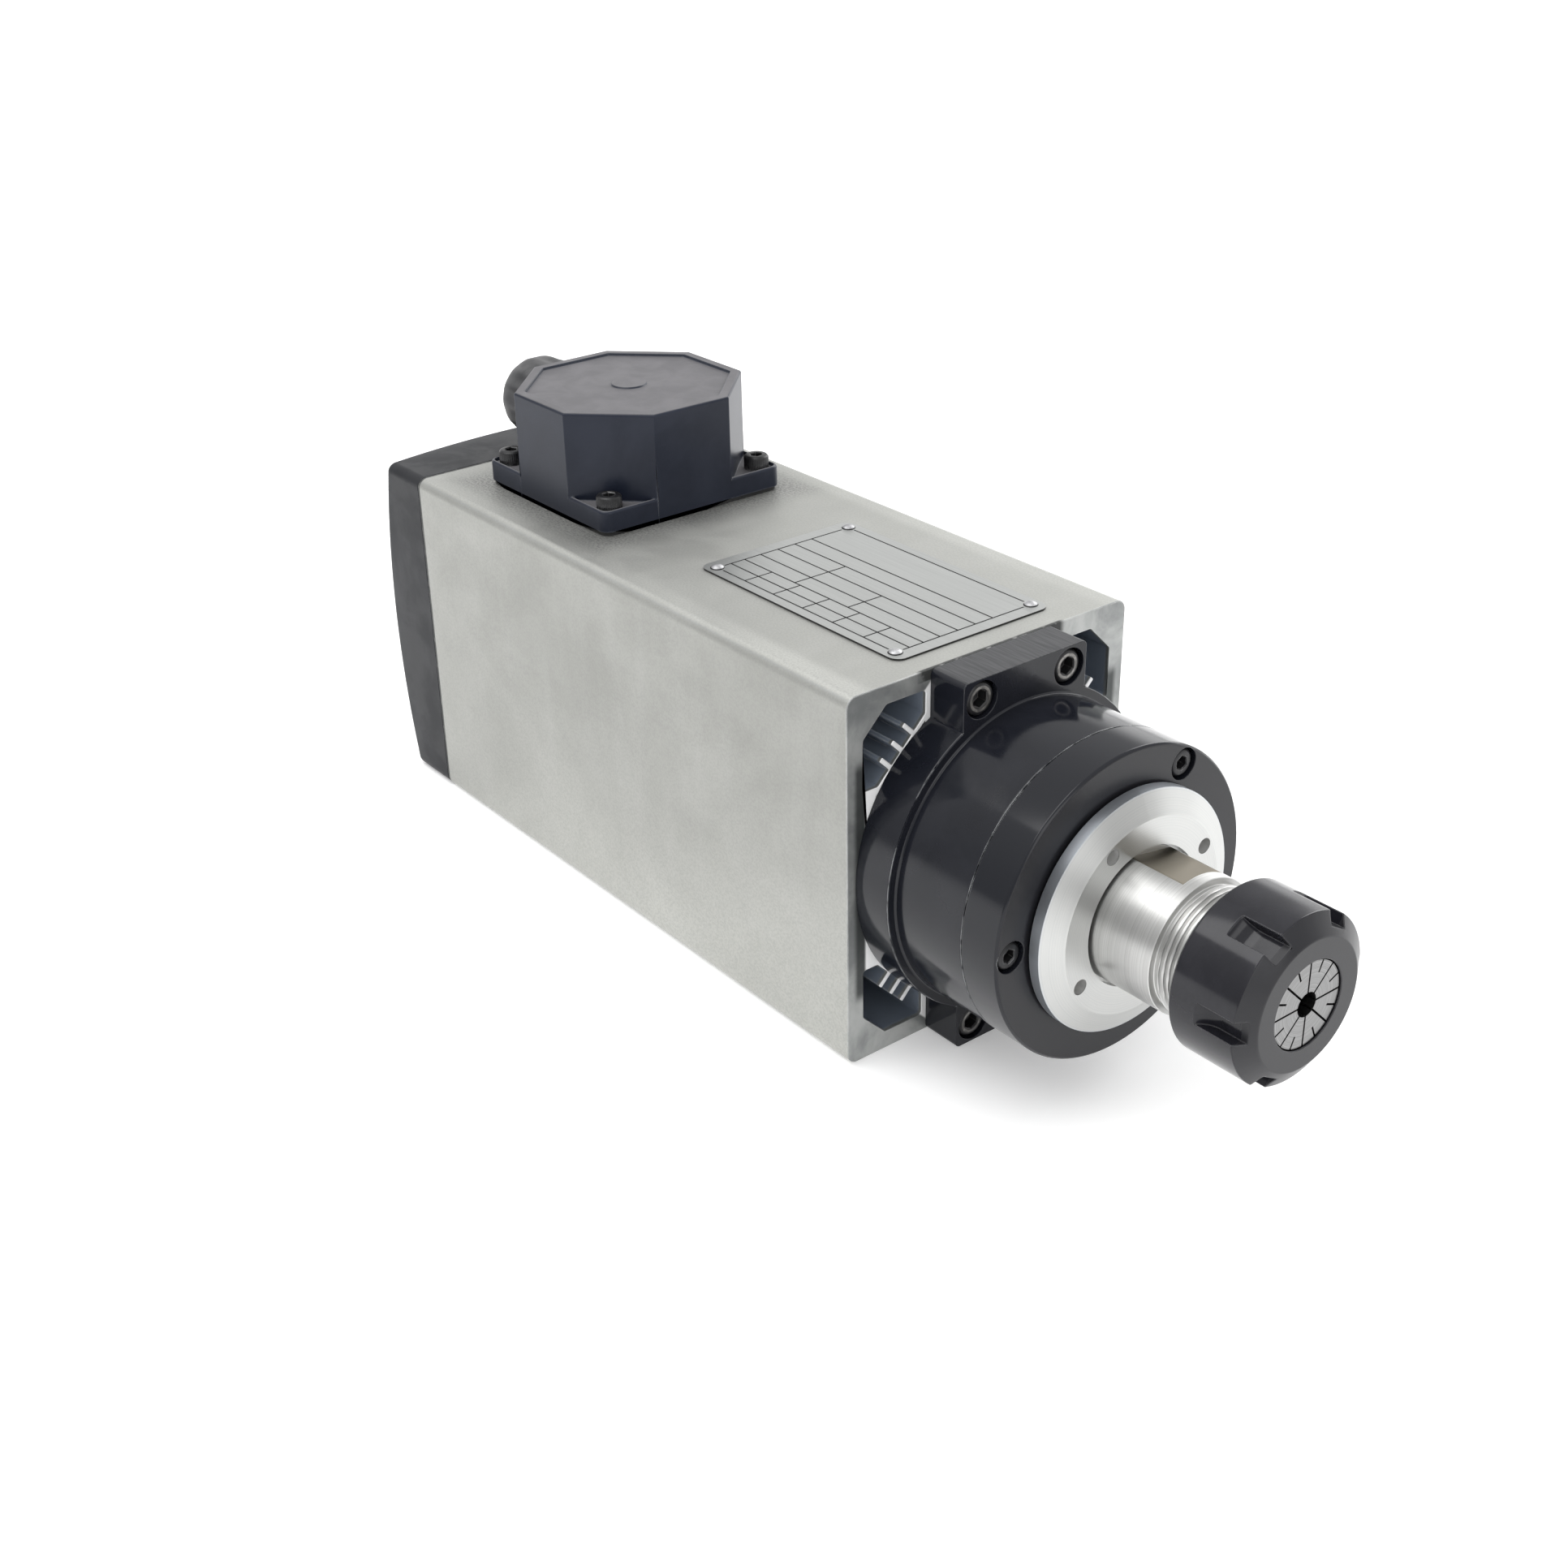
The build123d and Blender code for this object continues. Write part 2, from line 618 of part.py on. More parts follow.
# ---------------------------------------------------------------- rear bearing plate, spring and screws
pocket_x = rear_brg_x - spring_t
plate_hole_r = tail_r + plate_hole_gap
rear_plate = turned([
    (rear_x - plate_t, plate_hole_r), (rear_x - plate_t, plate_r), (rear_x, plate_r),
    (rear_x, stator_bore_r - fit_gap), (rear_seat_x, stator_bore_r - fit_gap), (rear_seat_x, rear_brg[1]),
    (pocket_x, rear_brg[1]), (pocket_x, plate_hole_r)])
rear_plate += section(RectangleRounded(2 * ear_half_w, 2 * plate_ear_top, ear_edge_r) - Circle(stator_bore_r),
                      rear_x - plate_t, rear_x)
for y, z in four(plate_screw_y, plate_screw_z):
    rear_plate -= rod_x(m5_clear_r, rear_x - plate_t, rear_x, y, z)
save("rear_bearing_plate", rear_plate)
plate_screw = cap_screw(m5_head_r, m5_head_h, m5_core_r, plate_t + plate_screw_len, m5_key)
save("rear_plate_screws", group(Pos(rear_x - plate_t, y, axis_z + z) * Rot(0, -90, 0) * plate_screw
                                for y, z in four(plate_screw_y, plate_screw_z)))
spring_in_r = (rear_brg[0] + rear_brg[1]) / 2 + rear_ball_r * race_shoulder
save("preload_spring", turned([(pocket_x, spring_in_r), (pocket_x, rear_brg[1] - fit_gap),
                               (rear_brg_x, rear_brg[1] - fit_gap), (rear_brg_x, spring_in_r)]))

# ---------------------------------------------------------------- fan, spacer and circlip
fan_front_x = rear_x - plate_t - fan_gap
fan_back_x = fan_front_x - fan_disc_t - fan_blade_h
fan = turned([(fan_front_x, tail_r + fit_gap), (fan_front_x, fan_r), (fan_front_x - fan_disc_t, fan_r),
              (fan_front_x - fan_disc_t, fan_hub_r), (fan_back_x, fan_hub_r), (fan_back_x, tail_r + fit_gap)])
blade_ring = Pos(fan_blade_sweep_r / 2, 0) * (Circle(fan_blade_sweep_r / 2 + fan_blade_t / 2)
                                              - Circle(fan_blade_sweep_r / 2 - fan_blade_t / 2))
upper_half = Pos(0, fan_r) * Rectangle(4 * fan_r, 2 * fan_r)
blade = blade_ring & (Circle(fan_r) - Circle(fan_hub_r - fan_blade_t)) & upper_half
blades = Sketch()
for i in range(fan_blades):
    blades += Rot(0, 0, i * 360 / fan_blades) * blade
fan += section(blades, fan_back_x, fan_front_x - fan_disc_t / 2)
save("cooling_fan", fan)
save("fan_spacer", turned([(fan_front_x, tail_r + fit_gap), (fan_front_x, rear_brg[0]),
                           (rear_brg_x, rear_brg[0]), (rear_brg_x, tail_r + fit_gap)]))
save("fan_circlip", turned([(fan_back_x - circlip_t, tail_r), (fan_back_x - circlip_t, circlip_r),
                            (fan_back_x, circlip_r), (fan_back_x, tail_r)]))

# ---------------------------------------------------------------- rear cover


def cover_block(inset, length, edge):
    """Body-sized block whose rear face is part of a large ball."""
    block = section(RectangleRounded(body_width - 2 * inset, body_height - 2 * inset, max(edge, 0.5)),
                    rear_x - length, rear_x)
    ball = Pos(rear_x - length + cover_dome_r, 0, axis_z) * Sphere(cover_dome_r)
    return block & ball


cover = cover_block(0, cover_depth, body_edge_r)
rear_rim = [e for e in cover.edges()
            if e.center().X < rear_x - cover_depth / 3 and e.geom_type != GeomType.LINE]
cover = fillet(rear_rim, cover_edge_r)
cover -= cover_block(cover_wall, cover_depth - cover_wall, body_edge_r)
for y, z in four(cover_screw_y, cover_screw_z):
    boss = rod_x(cover_boss_r, rear_x - cover_screw_grip - cover_wall, rear_x, y, z) & cover_block(
        0, cover_depth, body_edge_r)
    cover += boss
for y, z in four(cover_screw_y, cover_screw_z):
    cover -= rod_x(m4_clear_r, rear_x - cover_depth, rear_x, y, z)
    cover -= rod_x(m4_head_r + counterbore_gap / 2, rear_x - cover_depth, rear_x - cover_screw_grip, y, z)
grille = Sketch()
for ring in range(grille_rings):
    mid_r = grille_first_r + ring * grille_pitch
    grille += Circle(mid_r + grille_slot_w / 2) - Circle(mid_r - grille_slot_w / 2)
for i in range(grille_spokes):
    grille -= Rot(0, 0, i * 360 / grille_spokes) * Pos(fan_r, 0) * Rectangle(2 * fan_r, grille_spoke_w)
cover -= section(grille, rear_x - cover_depth, rear_x - cover_depth / 2)
save("rear_cover", cover)
cover_screw = cap_screw(m4_head_r, m4_head_h, m4_core_r, cover_screw_grip + cover_screw_len, m4_key)
save("rear_cover_screws", group(Pos(rear_x - cover_screw_grip, y, axis_z + z) * Rot(0, -90, 0) * cover_screw
                                for y, z in four(cover_screw_y, cover_screw_z)))

# ---------------------------------------------------------------- terminal box
box_top_z = box_z + box_height


def octagon(inset):
    """Regular octagon with two sides along X, as wide as the box less the inset."""
    return Rot(0, 0, 22.5) * RegularPolygon(box_size / 2 - inset, 8, major_radius=False)


pad = extrude(Pos(box_x, 0, box_z) * RectangleRounded(box_size, box_size, box_corner_r), box_pad_h)
pad = fillet(pad.faces().sort_by(Axis.Z)[-1].edges(), box_edge_r)
pocket_w = box_size - 2 * pad_lip
pad_pocket = RectangleRounded(pocket_w, pocket_w, max(box_corner_r - pad_lip, 0.5))
pad -= extrude(Pos(box_x, 0, box_z + box_pad_h - pad_pocket_d) * pad_pocket, pad_pocket_d)
tower = extrude(Pos(box_x, 0, box_z) * octagon(0), box_height)
tower = fillet(tower.faces().sort_by(Axis.Z)[-1].edges(), box_edge_r)
terminal_box = pad + tower
terminal_box -= extrude(Pos(box_x, 0, box_top_z - box_panel_d) * octagon(box_panel_rim), box_panel_d)
terminal_box += rod_z(box_button_r, box_top_z - box_panel_d, box_top_z - box_panel_d + box_button_h, box_x, 0)
terminal_box -= extrude(Pos(box_x, 0, box_z) * octagon(box_wall), box_height - box_wall - box_panel_d)
terminal_box -= rod_x(gland_thread_r + fit_gap, gland_x, gland_x + box_wall, 0, gland_z - axis_z)
for x, y in box_screw_xy:
    terminal_box -= rod_z(m4_clear_r, box_z, box_z + box_pad_h, x, y)
save("terminal_box", terminal_box)

gasket_size = box_size - 2 * gasket_inset
gasket_outline = RectangleRounded(gasket_size, gasket_size, box_corner_r)
gasket = extrude(Pos(box_x, 0, body_height) * gasket_outline, gasket_t)
gasket -= extrude(Pos(box_x, 0, body_height) * octagon(gasket_w), gasket_t)
for x, y in box_screw_xy:
    gasket -= rod_z(m4_clear_r, body_height, box_z, x, y)
save("terminal_box_gasket", gasket)
pad_seat_z = box_z + box_pad_h - pad_pocket_d
lid_screw = cap_screw(m4_head_r, m4_head_h, m4_core_r, pad_seat_z - body_height + box_screw_len, m4_key)
save("terminal_box_screws", group(Pos(x, y, pad_seat_z) * lid_screw for x, y in box_screw_xy))

block_x = lead_x + lead_hole_r + block_hole_gap + block_w / 2
block_top = body_height + block_h
block = slab(block_x - block_w / 2, block_x + block_w / 2, -block_l / 2, block_l / 2, body_height, block_top)
wire_ys = [(i - (wire_count - 1) / 2) * wire_pitch for i in range(wire_count)]
wire_end_z = body_height + block_h / 2
pole_ys = [(i - (wire_count - 1) / 2) * block_l / wire_count for i in range(wire_count)]
for y in pole_ys:
    block -= rod_z(block_screw_r + fit_gap, block_top - block_screw_h, block_top, block_x, y)
save("terminal_block", block)
save("terminal_block_screws", group(rod_z(block_screw_r, block_top - block_screw_h, block_top, block_x, y)
                                    for y in pole_ys))


def lead_wire(y):
    """Wire from the end winding up through the lead hole to the side of the block."""
    near_y = max(abs(y) - wire_r, 0)
    start_z = axis_z + math.sqrt(end_winding_out_r ** 2 - near_y ** 2)
    points = (lead_x, y, start_z), (lead_x, y, wire_end_z), (block_x - block_w / 2, y, wire_end_z)
    path = FilletPolyline(*points, radius=3 * wire_r)
    return sweep(Plane(origin=path @ 0, z_dir=path % 0) * Circle(wire_r), path=path)


save("lead_wires", group(lead_wire(y) for y in wire_ys))

# ---------------------------------------------------------------- cable gland
gland_in_x = gland_x + box_wall + gland_locknut_t + 1
hex_x = gland_x - gland_hex_t
neck_x = hex_x - gland_neck_l


def gland_turned(profile):
    """Revolve a closed list of (x, r) points about the gland's axis."""
    return Pos(0, 0, gland_z - axis_z) * turned(profile)


def gland_hexagon(width, x_a, x_b):
    """Hexagon bar along X on the gland's axis."""
    outline = RegularPolygon(width / 2, 6, major_radius=False, rotation=30)
    return Pos(0, 0, gland_z - axis_z) * section(outline, x_a, x_b)


gland_body = gland_turned([(neck_x, gland_bore_r), (neck_x, gland_neck_r), (hex_x, gland_neck_r),
                           (hex_x, gland_thread_r), (gland_in_x, gland_thread_r), (gland_in_x, gland_bore_r)])
gland_body += gland_hexagon(gland_hex, hex_x, gland_x) - rod_x(
    (gland_bore_r + gland_thread_r) / 2, hex_x, gland_x, 0, gland_z - axis_z)
save("gland_body", gland_body)
gland_locknut = gland_hexagon(locknut_hex, gland_x + box_wall, gland_x + box_wall + gland_locknut_t)
gland_locknut -= rod_x(gland_thread_r, gland_x, gland_in_x, 0, gland_z - axis_z)
save("gland_locknut", gland_locknut)
nut_start_x = hex_x - gland_nut_gap
nut_mouth_x = nut_start_x - gland_nut_l
dome_x = nut_start_x - gland_nut_l / 2
seal_flange_x = neck_x - gland_nut_gap
gland_nut = gland_turned([
    (nut_start_x, gland_neck_r + run_gap), (nut_start_x, gland_nut_r), (dome_x, gland_nut_r),
    (nut_mouth_x + gland_nut_l * 0.2, gland_nut_r * 0.88), (nut_mouth_x, gland_nut_r * 0.68),
    (nut_mouth_x, gland_mouth_r), (seal_flange_x - 2, gland_mouth_r),
    (seal_flange_x - 1, gland_neck_r + run_gap)])
save("gland_nut", gland_nut)
gland_seal = gland_turned([
    (seal_flange_x, seal_bore_r), (seal_flange_x, gland_neck_r), (neck_x, gland_neck_r),
    (neck_x, gland_bore_r - fit_gap),
    (hex_x, gland_bore_r - fit_gap), (hex_x, seal_bore_r)])
save("gland_seal", gland_seal)

# ---------------------------------------------------------------- nameplate and rivets
plate_outline = RectangleRounded(plate_size_x, plate_size_y, plate_corner_r)
nameplate = extrude(Pos(plate_x, plate_shift_y, body_height) * plate_outline, plate_thick)
for x, y in rivet_xy:
    nameplate -= rod_z(rivet_r, body_height, body_height + plate_thick, x, y)
save("nameplate", nameplate)


def rivet():
    """Round-head drive rivet, head up from z = 0."""
    ball_r = (rivet_head_r ** 2 + rivet_head_h ** 2) / (2 * rivet_head_h)
    head = Pos(0, 0, rivet_head_h - ball_r) * Sphere(ball_r) & Pos(0, 0, rivet_head_h / 2) * Box(
        4 * rivet_head_r, 4 * rivet_head_r, rivet_head_h)
    length = plate_thick + rivet_depth
    return head + Pos(0, 0, -length / 2) * Cylinder(rivet_r, length)


save("nameplate_rivets", group(Pos(x, y, body_height + plate_thick) * rivet() for x, y in rivet_xy))

# ---------------------------------------------------------------- collet
tan_taper = math.tan(math.radians(taper_half_deg))
tan_cone = math.tan(math.radians(collet_cone_deg))
collet_face_x = front_x + collet_face
collet_back_x = collet_face_x - collet_length
big_end_x = shaft_end_x + collet_big_gap
seat_r = taper_mouth_r - run_gap / math.cos(math.radians(taper_half_deg))
collet_tail_r = seat_r - (shaft_end_x - collet_back_x) * tan_taper
cone_x = collet_face_x - (collet_lip_r - collet_face_r) / tan_cone
groove_front_x = big_end_x + collet_groove_w
relief_end_x = collet_face_x - collet_bore_l
collet = turned([
    (collet_back_x, collet_relief_r), (collet_back_x, collet_tail_r), (shaft_end_x, seat_r),
    (big_end_x, seat_r),
    (big_end_x, collet_groove_r), (groove_front_x, collet_groove_r), (groove_front_x, collet_lip_r),
    (cone_x, collet_lip_r), (collet_face_x, collet_face_r), (collet_face_x, collet_bore_r),
    (relief_end_x, collet_bore_r), (relief_end_x, collet_relief_r)])
wide = 2 * taper_mouth_r
for i in range(collet_slots):
    turn = Pos(0, 0, axis_z) * Rot(i * 360 / collet_slots, 0, 0)
    half_turn = Pos(0, 0, axis_z) * Rot((i + 0.5) * 360 / collet_slots, 0, 0)
    half_slot = collet_slot_w / 2
    front_slot = slab(collet_back_x + collet_slot_end, collet_face_x, 0, wide, -half_slot, half_slot)
    rear_slot = slab(collet_back_x, collet_face_x - collet_slot_end, 0, wide, -half_slot, half_slot)
    nick = slab(collet_back_x, collet_face_x, collet_nick_r, wide, -half_slot, half_slot)
    collet -= turn * front_slot
    collet -= half_turn * (rear_slot + nick)
save("collet", collet)

# ---------------------------------------------------------------- collet nut
nut_face_x = front_x + nut_face
nut_back_x = nut_face_x - nut_length
nut_bore_r = nose_thread_r + run_gap
mouth_r = collet_face_r + nut_mouth_gap
seat_lip_r = collet_lip_r + nut_mouth_gap
mouth_x = cone_x + (seat_lip_r - mouth_r) / tan_cone
lip_front_x = groove_front_x - run_gap
lip_back_x = lip_front_x - lip_t
nut = turned([
    (nut_back_x, nut_bore_r), (nut_back_x, nut_r - nut_back_edge), (nut_back_x + nut_back_edge, nut_r),
    (nut_face_x - nut_bevel_l, nut_r), (nut_face_x, nut_face_r), (nut_face_x, mouth_r), (mouth_x, mouth_r),
    (cone_x, seat_lip_r), (lip_front_x, seat_lip_r), (lip_back_x, seat_lip_r), (lip_back_x, nut_bore_r)])
lip_hole_r = (collet_lip_r + collet_groove_r) / 2 + lip_shift
nut += rod_x(nut_bore_r, lip_back_x, lip_front_x) - rod_x(lip_hole_r, lip_back_x, lip_front_x, 0, lip_shift)
for i in range(nut_slots):
    turn = Pos(0, 0, axis_z) * Rot(i * 360 / nut_slots, 0, 0)
    floor_r = nut_r - nut_slot_d
    full = slab(nut_face_x - nut_slot_l + nut_slot_runout, nut_face_x, floor_r, nut_r + 1,
                -nut_slot_w / 2, nut_slot_w / 2)
    cutter_r = (nut_slot_d ** 2 + nut_slot_runout ** 2) / (2 * nut_slot_d)
    runout_x = nut_face_x - nut_slot_l + nut_slot_runout
    runout = Pos(runout_x, floor_r + cutter_r, 0) * Cylinder(cutter_r, nut_slot_w)
    nut -= turn * (full + runout)
save("collet_nut", nut)
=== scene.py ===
import math
import bmesh
import bpy
import numpy as np
from mathutils import Matrix, Vector


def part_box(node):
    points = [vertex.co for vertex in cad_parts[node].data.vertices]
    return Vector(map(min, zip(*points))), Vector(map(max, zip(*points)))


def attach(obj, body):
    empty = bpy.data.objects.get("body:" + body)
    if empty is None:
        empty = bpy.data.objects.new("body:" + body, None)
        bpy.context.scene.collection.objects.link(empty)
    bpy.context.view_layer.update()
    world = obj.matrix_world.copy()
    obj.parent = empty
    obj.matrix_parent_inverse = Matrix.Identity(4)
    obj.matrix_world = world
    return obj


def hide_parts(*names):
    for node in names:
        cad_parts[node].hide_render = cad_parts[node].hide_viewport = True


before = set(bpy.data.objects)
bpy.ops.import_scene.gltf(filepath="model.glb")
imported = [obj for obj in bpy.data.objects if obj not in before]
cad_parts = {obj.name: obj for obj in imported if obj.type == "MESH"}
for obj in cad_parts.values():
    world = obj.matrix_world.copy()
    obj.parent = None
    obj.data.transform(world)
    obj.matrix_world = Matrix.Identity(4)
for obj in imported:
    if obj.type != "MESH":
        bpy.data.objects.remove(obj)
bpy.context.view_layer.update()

mm = 0.001

# ------------------------------------------------------------------ camera
# Seen from the nose end, from above and beside the shaft, through a fairly long lens.  The turn, tilt
# and roll say which way the camera faces, and its place is in metres in the part's frame.
view_turn = math.radians(52.38)
view_tilt = math.radians(27.83)
view_roll = math.radians(-1.22)
camera_place = Vector((0.4207, -0.3122, 0.3002))
sensor_width = 36.0
lens_length = 47.53

back = Vector((math.sin(view_turn) * math.cos(view_tilt),
               -math.cos(view_turn) * math.cos(view_tilt), math.sin(view_tilt)))
right = Vector((math.cos(view_turn), math.sin(view_turn), 0.0))
up = back.cross(right)
rolled_right = right * math.cos(view_roll) + up * math.sin(view_roll)
rolled_up = up * math.cos(view_roll) - right * math.sin(view_roll)
camera_data = bpy.data.cameras.new("camera")
camera_data.sensor_width = sensor_width
camera_data.lens = lens_length
camera_data.clip_end = 50.0
camera = bpy.data.objects.new("camera", camera_data)
camera.matrix_world = Matrix((
    (rolled_right.x, rolled_up.x, back.x, camera_place.x),
    (rolled_right.y, rolled_up.y, back.y, camera_place.y),
    (rolled_right.z, rolled_up.z, back.z, camera_place.z),
    (0.0, 0.0, 0.0, 1.0)))
bpy.context.scene.collection.objects.link(camera)
bpy.context.scene.camera = camera

# ------------------------------------------------------------------ studio
# A white table top under a white surround that is brighter overhead and dimmer near the horizon,
# with a large soft lamp above, one on the far side and a smaller one on the nose side.  Colours are
# shown as they are lit.
bpy.context.scene.view_settings.view_transform = "Standard"
floor_half = 6.0
floor_glow = 0.24
sky_strength = 0.95
white_seen = 1.06


def add(tree, kind, inputs=None, **settings):
    """New shader node; each input is given a value, or a link where the value is a socket."""
    made = tree.nodes.new("ShaderNode" + kind)
    for name, value in settings.items():
        setattr(made, name, value)
    for name, value in (inputs or {}).items():
        if isinstance(value, bpy.types.NodeSocket):
            tree.links.new(value, made.inputs[name])
        else:
            made.inputs[name].default_value = value
    return made


def finish(name, colour, roughness, metallic=0.0, **fixed):
    """New material with one principled shader; returns the material, its tree and the shader.  The
    plain colour is for viewers that read no nodes."""
    material = bpy.data.materials.new(name)
    material.use_nodes = True
    tree = material.node_tree
    shader = tree.nodes["Principled BSDF"]
    shader.inputs["Base Color"].default_value = (*colour, 1.0)
    shader.inputs["Roughness"].default_value = roughness
    shader.inputs["Metallic"].default_value = metallic
    for label, value in fixed.items():
        shader.inputs[label.replace("_", " ")].default_value = value
    return material, tree, shader


def feed(shader, **values):
    """Link sockets to a shader's inputs."""
    for label, value in values.items():
        shader.id_data.links.new(value, shader.inputs[label.replace("_", " ")])


def object_place(tree):
    """The point being shaded, in metres in the part's frame."""
    return add(tree, "TexCoord").outputs["Object"]


def noise(where, scale, detail=2.0, **more):
    """Cloudy noise from 0 to 1 at a place."""
    inputs = {"Vector": where, "Scale": scale, "Detail": detail, **more}
    return add(where.id_data, "TexNoise", inputs).outputs["Fac"]


def spread(value, low, high, to_low=0.0, to_high=1.0):
    """A value moved smoothly from one range to another, held at its ends."""
    inputs = {"Value": value, "From Min": low, "From Max": high, "To Min": to_low, "To Max": to_high}
    return add(value.id_data, "MapRange", inputs, interpolation_type="SMOOTHSTEP").outputs["Result"]


def tree_of(values):
    """The node tree that the first socket among some values belongs to."""
    return next(each for each in values if isinstance(each, bpy.types.NodeSocket)).id_data


def math_of(operation, *values):
    """One sum on numbers and sockets."""
    return add(tree_of(values), "Math", dict(enumerate(values)), operation=operation).outputs[0]


def vector_of(operation, *values):
    """One sum on vectors; a length or a dot product comes out as a number."""
    made = add(tree_of(values), "VectorMath", dict(enumerate(values)), operation=operation)
    return made.outputs["Value" if operation in ("LENGTH", "DOT_PRODUCT") else "Vector"]


def ramp(value, stops):
    """Colour ramp from (position, grey) stops."""
    made = add(value.id_data, "ValToRGB", {"Fac": value})
    marks = made.color_ramp.elements
    while len(marks) < len(stops):
        marks.new(0.5)
    for mark, (position, grey) in zip(marks, stops):
        mark.position = position
        mark.color = (grey, grey, grey, 1.0)
    return made.outputs["Color"]


def mesh_from_grid(name, points, closed=False):
    """Smooth quads between neighbouring points of a (u, v) grid of places; closed joins v's ends."""
    count_u, count_v = points.shape[:2]
    index = np.arange(count_u * count_v).reshape(count_u, count_v)
    if closed:
        index = np.hstack([index, index[:, :1]])
    quads = np.stack([index[:-1, :-1], index[:-1, 1:], index[1:, 1:], index[1:, :-1]], axis=-1)
    mesh = bpy.data.meshes.new(name)
    mesh.from_pydata(points.reshape(-1, 3).tolist(), [], quads.reshape(-1, 4).tolist())
    mesh.polygons.foreach_set("use_smooth", np.full(len(mesh.polygons), True))
    mesh.update()
    return mesh


def place(name, mesh, material):
    """Put a mesh into the scene as an object at the origin, with one material."""
    mesh.materials.append(material)
    piece = bpy.data.objects.new(name, mesh)
    bpy.context.scene.collection.objects.link(piece)
    return piece


floor_line = np.linspace(-floor_half, floor_half, 2)
floor_grid = np.stack([*np.meshgrid(floor_line, floor_line), np.zeros((2, 2))], axis=-1)
white_paper, paper_tree, paper_shader = finish(
    "white_paper", (0.93, 0.93, 0.93), 0.95,
    Emission_Color=(1.0, 1.0, 1.0, 1.0), Emission_Strength=floor_glow)
feed(paper_shader, Base_Color=ramp(noise(object_place(paper_tree), 300.0), [(0.3, 0.92), (0.7, 0.94)]))
place("floor", mesh_from_grid("floor", floor_grid), white_paper)

world = bpy.data.worlds.new("studio")
bpy.context.scene.world = world
world.use_nodes = True
sky = world.node_tree
sky_way = add(sky, "TexCoord").outputs["Generated"]
sky_height = add(sky, "SeparateXYZ", {"Vector": sky_way}).outputs["Z"]
near_sky = ramp(sky_height, [(0.0, 0.50), (0.25, 0.62), (0.6, 0.93), (1.0, 1.0)])
# a low band on the far side is three times as bright, and lights the edges turned from the camera
far_way = vector_of("DOT_PRODUCT", sky_way, (-0.5, 0.85, 0.0))
sky_bright = spread(far_way, 0.1, 0.5, 1.0, spread(sky_height, 0.12, 0.38, 3.1, 1.0))
lit_sky = add(sky, "VectorMath", {0: near_sky, 3: sky_bright}, operation="SCALE").outputs["Vector"]
# seen directly it is plain white paper, so the table has no horizon
seen_sky = math_of("MULTIPLY", add(sky, "LightPath").outputs["Is Camera Ray"], white_seen)
feed(sky.nodes["Background"], Color=vector_of("MAXIMUM", lit_sky, seen_sky))
sky.nodes["Background"].inputs["Strength"].default_value = sky_strength


def soft_lamp(name, place_at, look_at, size, power):
    """Square area lamp at one point, facing another."""
    lamp_data = bpy.data.lights.new(name, "AREA")
    lamp_data.shape = "SQUARE"
    lamp_data.size = size
    lamp_data.energy = power
    lamp = bpy.data.objects.new(name, lamp_data)
    direction = Vector(place_at) - Vector(look_at)
    turned = direction.to_track_quat("Z", "Y").to_matrix().to_4x4()
    lamp.matrix_world = Matrix.Translation(Vector(place_at)) @ turned
    bpy.context.scene.collection.objects.link(lamp)


soft_lamp("overhead", (-0.2, -0.5, 1.3), (0.0, 0.0, 0.05), size=1.0, power=9.0)
soft_lamp("far_side", (-0.1, 1.1, 0.7), (0.0, 0.0, 0.08), size=0.8, power=7.0)
soft_lamp("nose_side", (1.3, -0.2, 0.6), (0.1, 0.0, 0.05), size=0.8, power=3.0)

# ------------------------------------------------------------------ body extrusion
# Drawn aluminium profile, blasted to a satin skin with faint clouds in it.  Its cut ends are darker, the air
# channels are painted dark and bluish as shade, and the skin's edges are painted paler as wear and highlight.
axis_height = 50 * mm
body_front = 97.5 * mm
body_half_w = 45 * mm
body_top = 100 * mm
box_middle = -51.5           # of the terminal box along the body, in millimetres
box_reach = 30 * mm          # from there to the sides of the box's flange
satin_roughness = (0.54, 0.62)


def group_of(name, inputs, output, output_kind="NodeSocketFloat"):
    """New node group with float inputs given as label and default; returns it, its start and end."""
    tree = bpy.data.node_groups.new(name, "ShaderNodeTree")
    for label, value in inputs.items():
        socket = tree.interface.new_socket(label, in_out="INPUT", socket_type="NodeSocketFloat")
        socket.default_value = value
    tree.interface.new_socket(output, in_out="OUTPUT", socket_type=output_kind)
    return tree, tree.nodes.new("NodeGroupInput").outputs, tree.nodes.new("NodeGroupOutput").inputs[output]


def use(tree, group, **inputs):
    """A node group placed in a material; returns its first output."""
    made = tree.nodes.new("ShaderNodeGroup")
    made.node_tree = group
    for label, value in inputs.items():
        made.inputs[label.replace("_", " ")].default_value = value
    return made.outputs[0]


def product(first, *others):
    """Masks or values multiplied together, one after another."""
    for each in others:
        first = math_of("MULTIPLY", first, each)
    return first


def mixed(factor, first, second):
    """Colour blend; the two may be colours or sockets."""
    first, second = [(*each, 1.0) if isinstance(each, tuple) else each for each in (first, second)]
    made = add(factor.id_data, "Mix", {0: factor}, data_type="RGBA")
    for socket, value in zip((made.inputs[6], made.inputs[7]), (first, second)):
        if isinstance(value, bpy.types.NodeSocket):
            factor.id_data.links.new(value, socket)
        else:
            socket.default_value = value
    return made.outputs[2]


def axis_of(tree, label, vector=None):
    """One coordinate of the point being shaded, or of another vector."""
    vector = object_place(tree) if vector is None else vector
    return add(tree, "SeparateXYZ", {"Vector": vector}).outputs[label]


def stretched(tree, scale):
    """The point being shaded, scaled by its own amount each way."""
    return add(tree, "Mapping", {"Vector": object_place(tree), "Scale": scale}).outputs["Vector"]


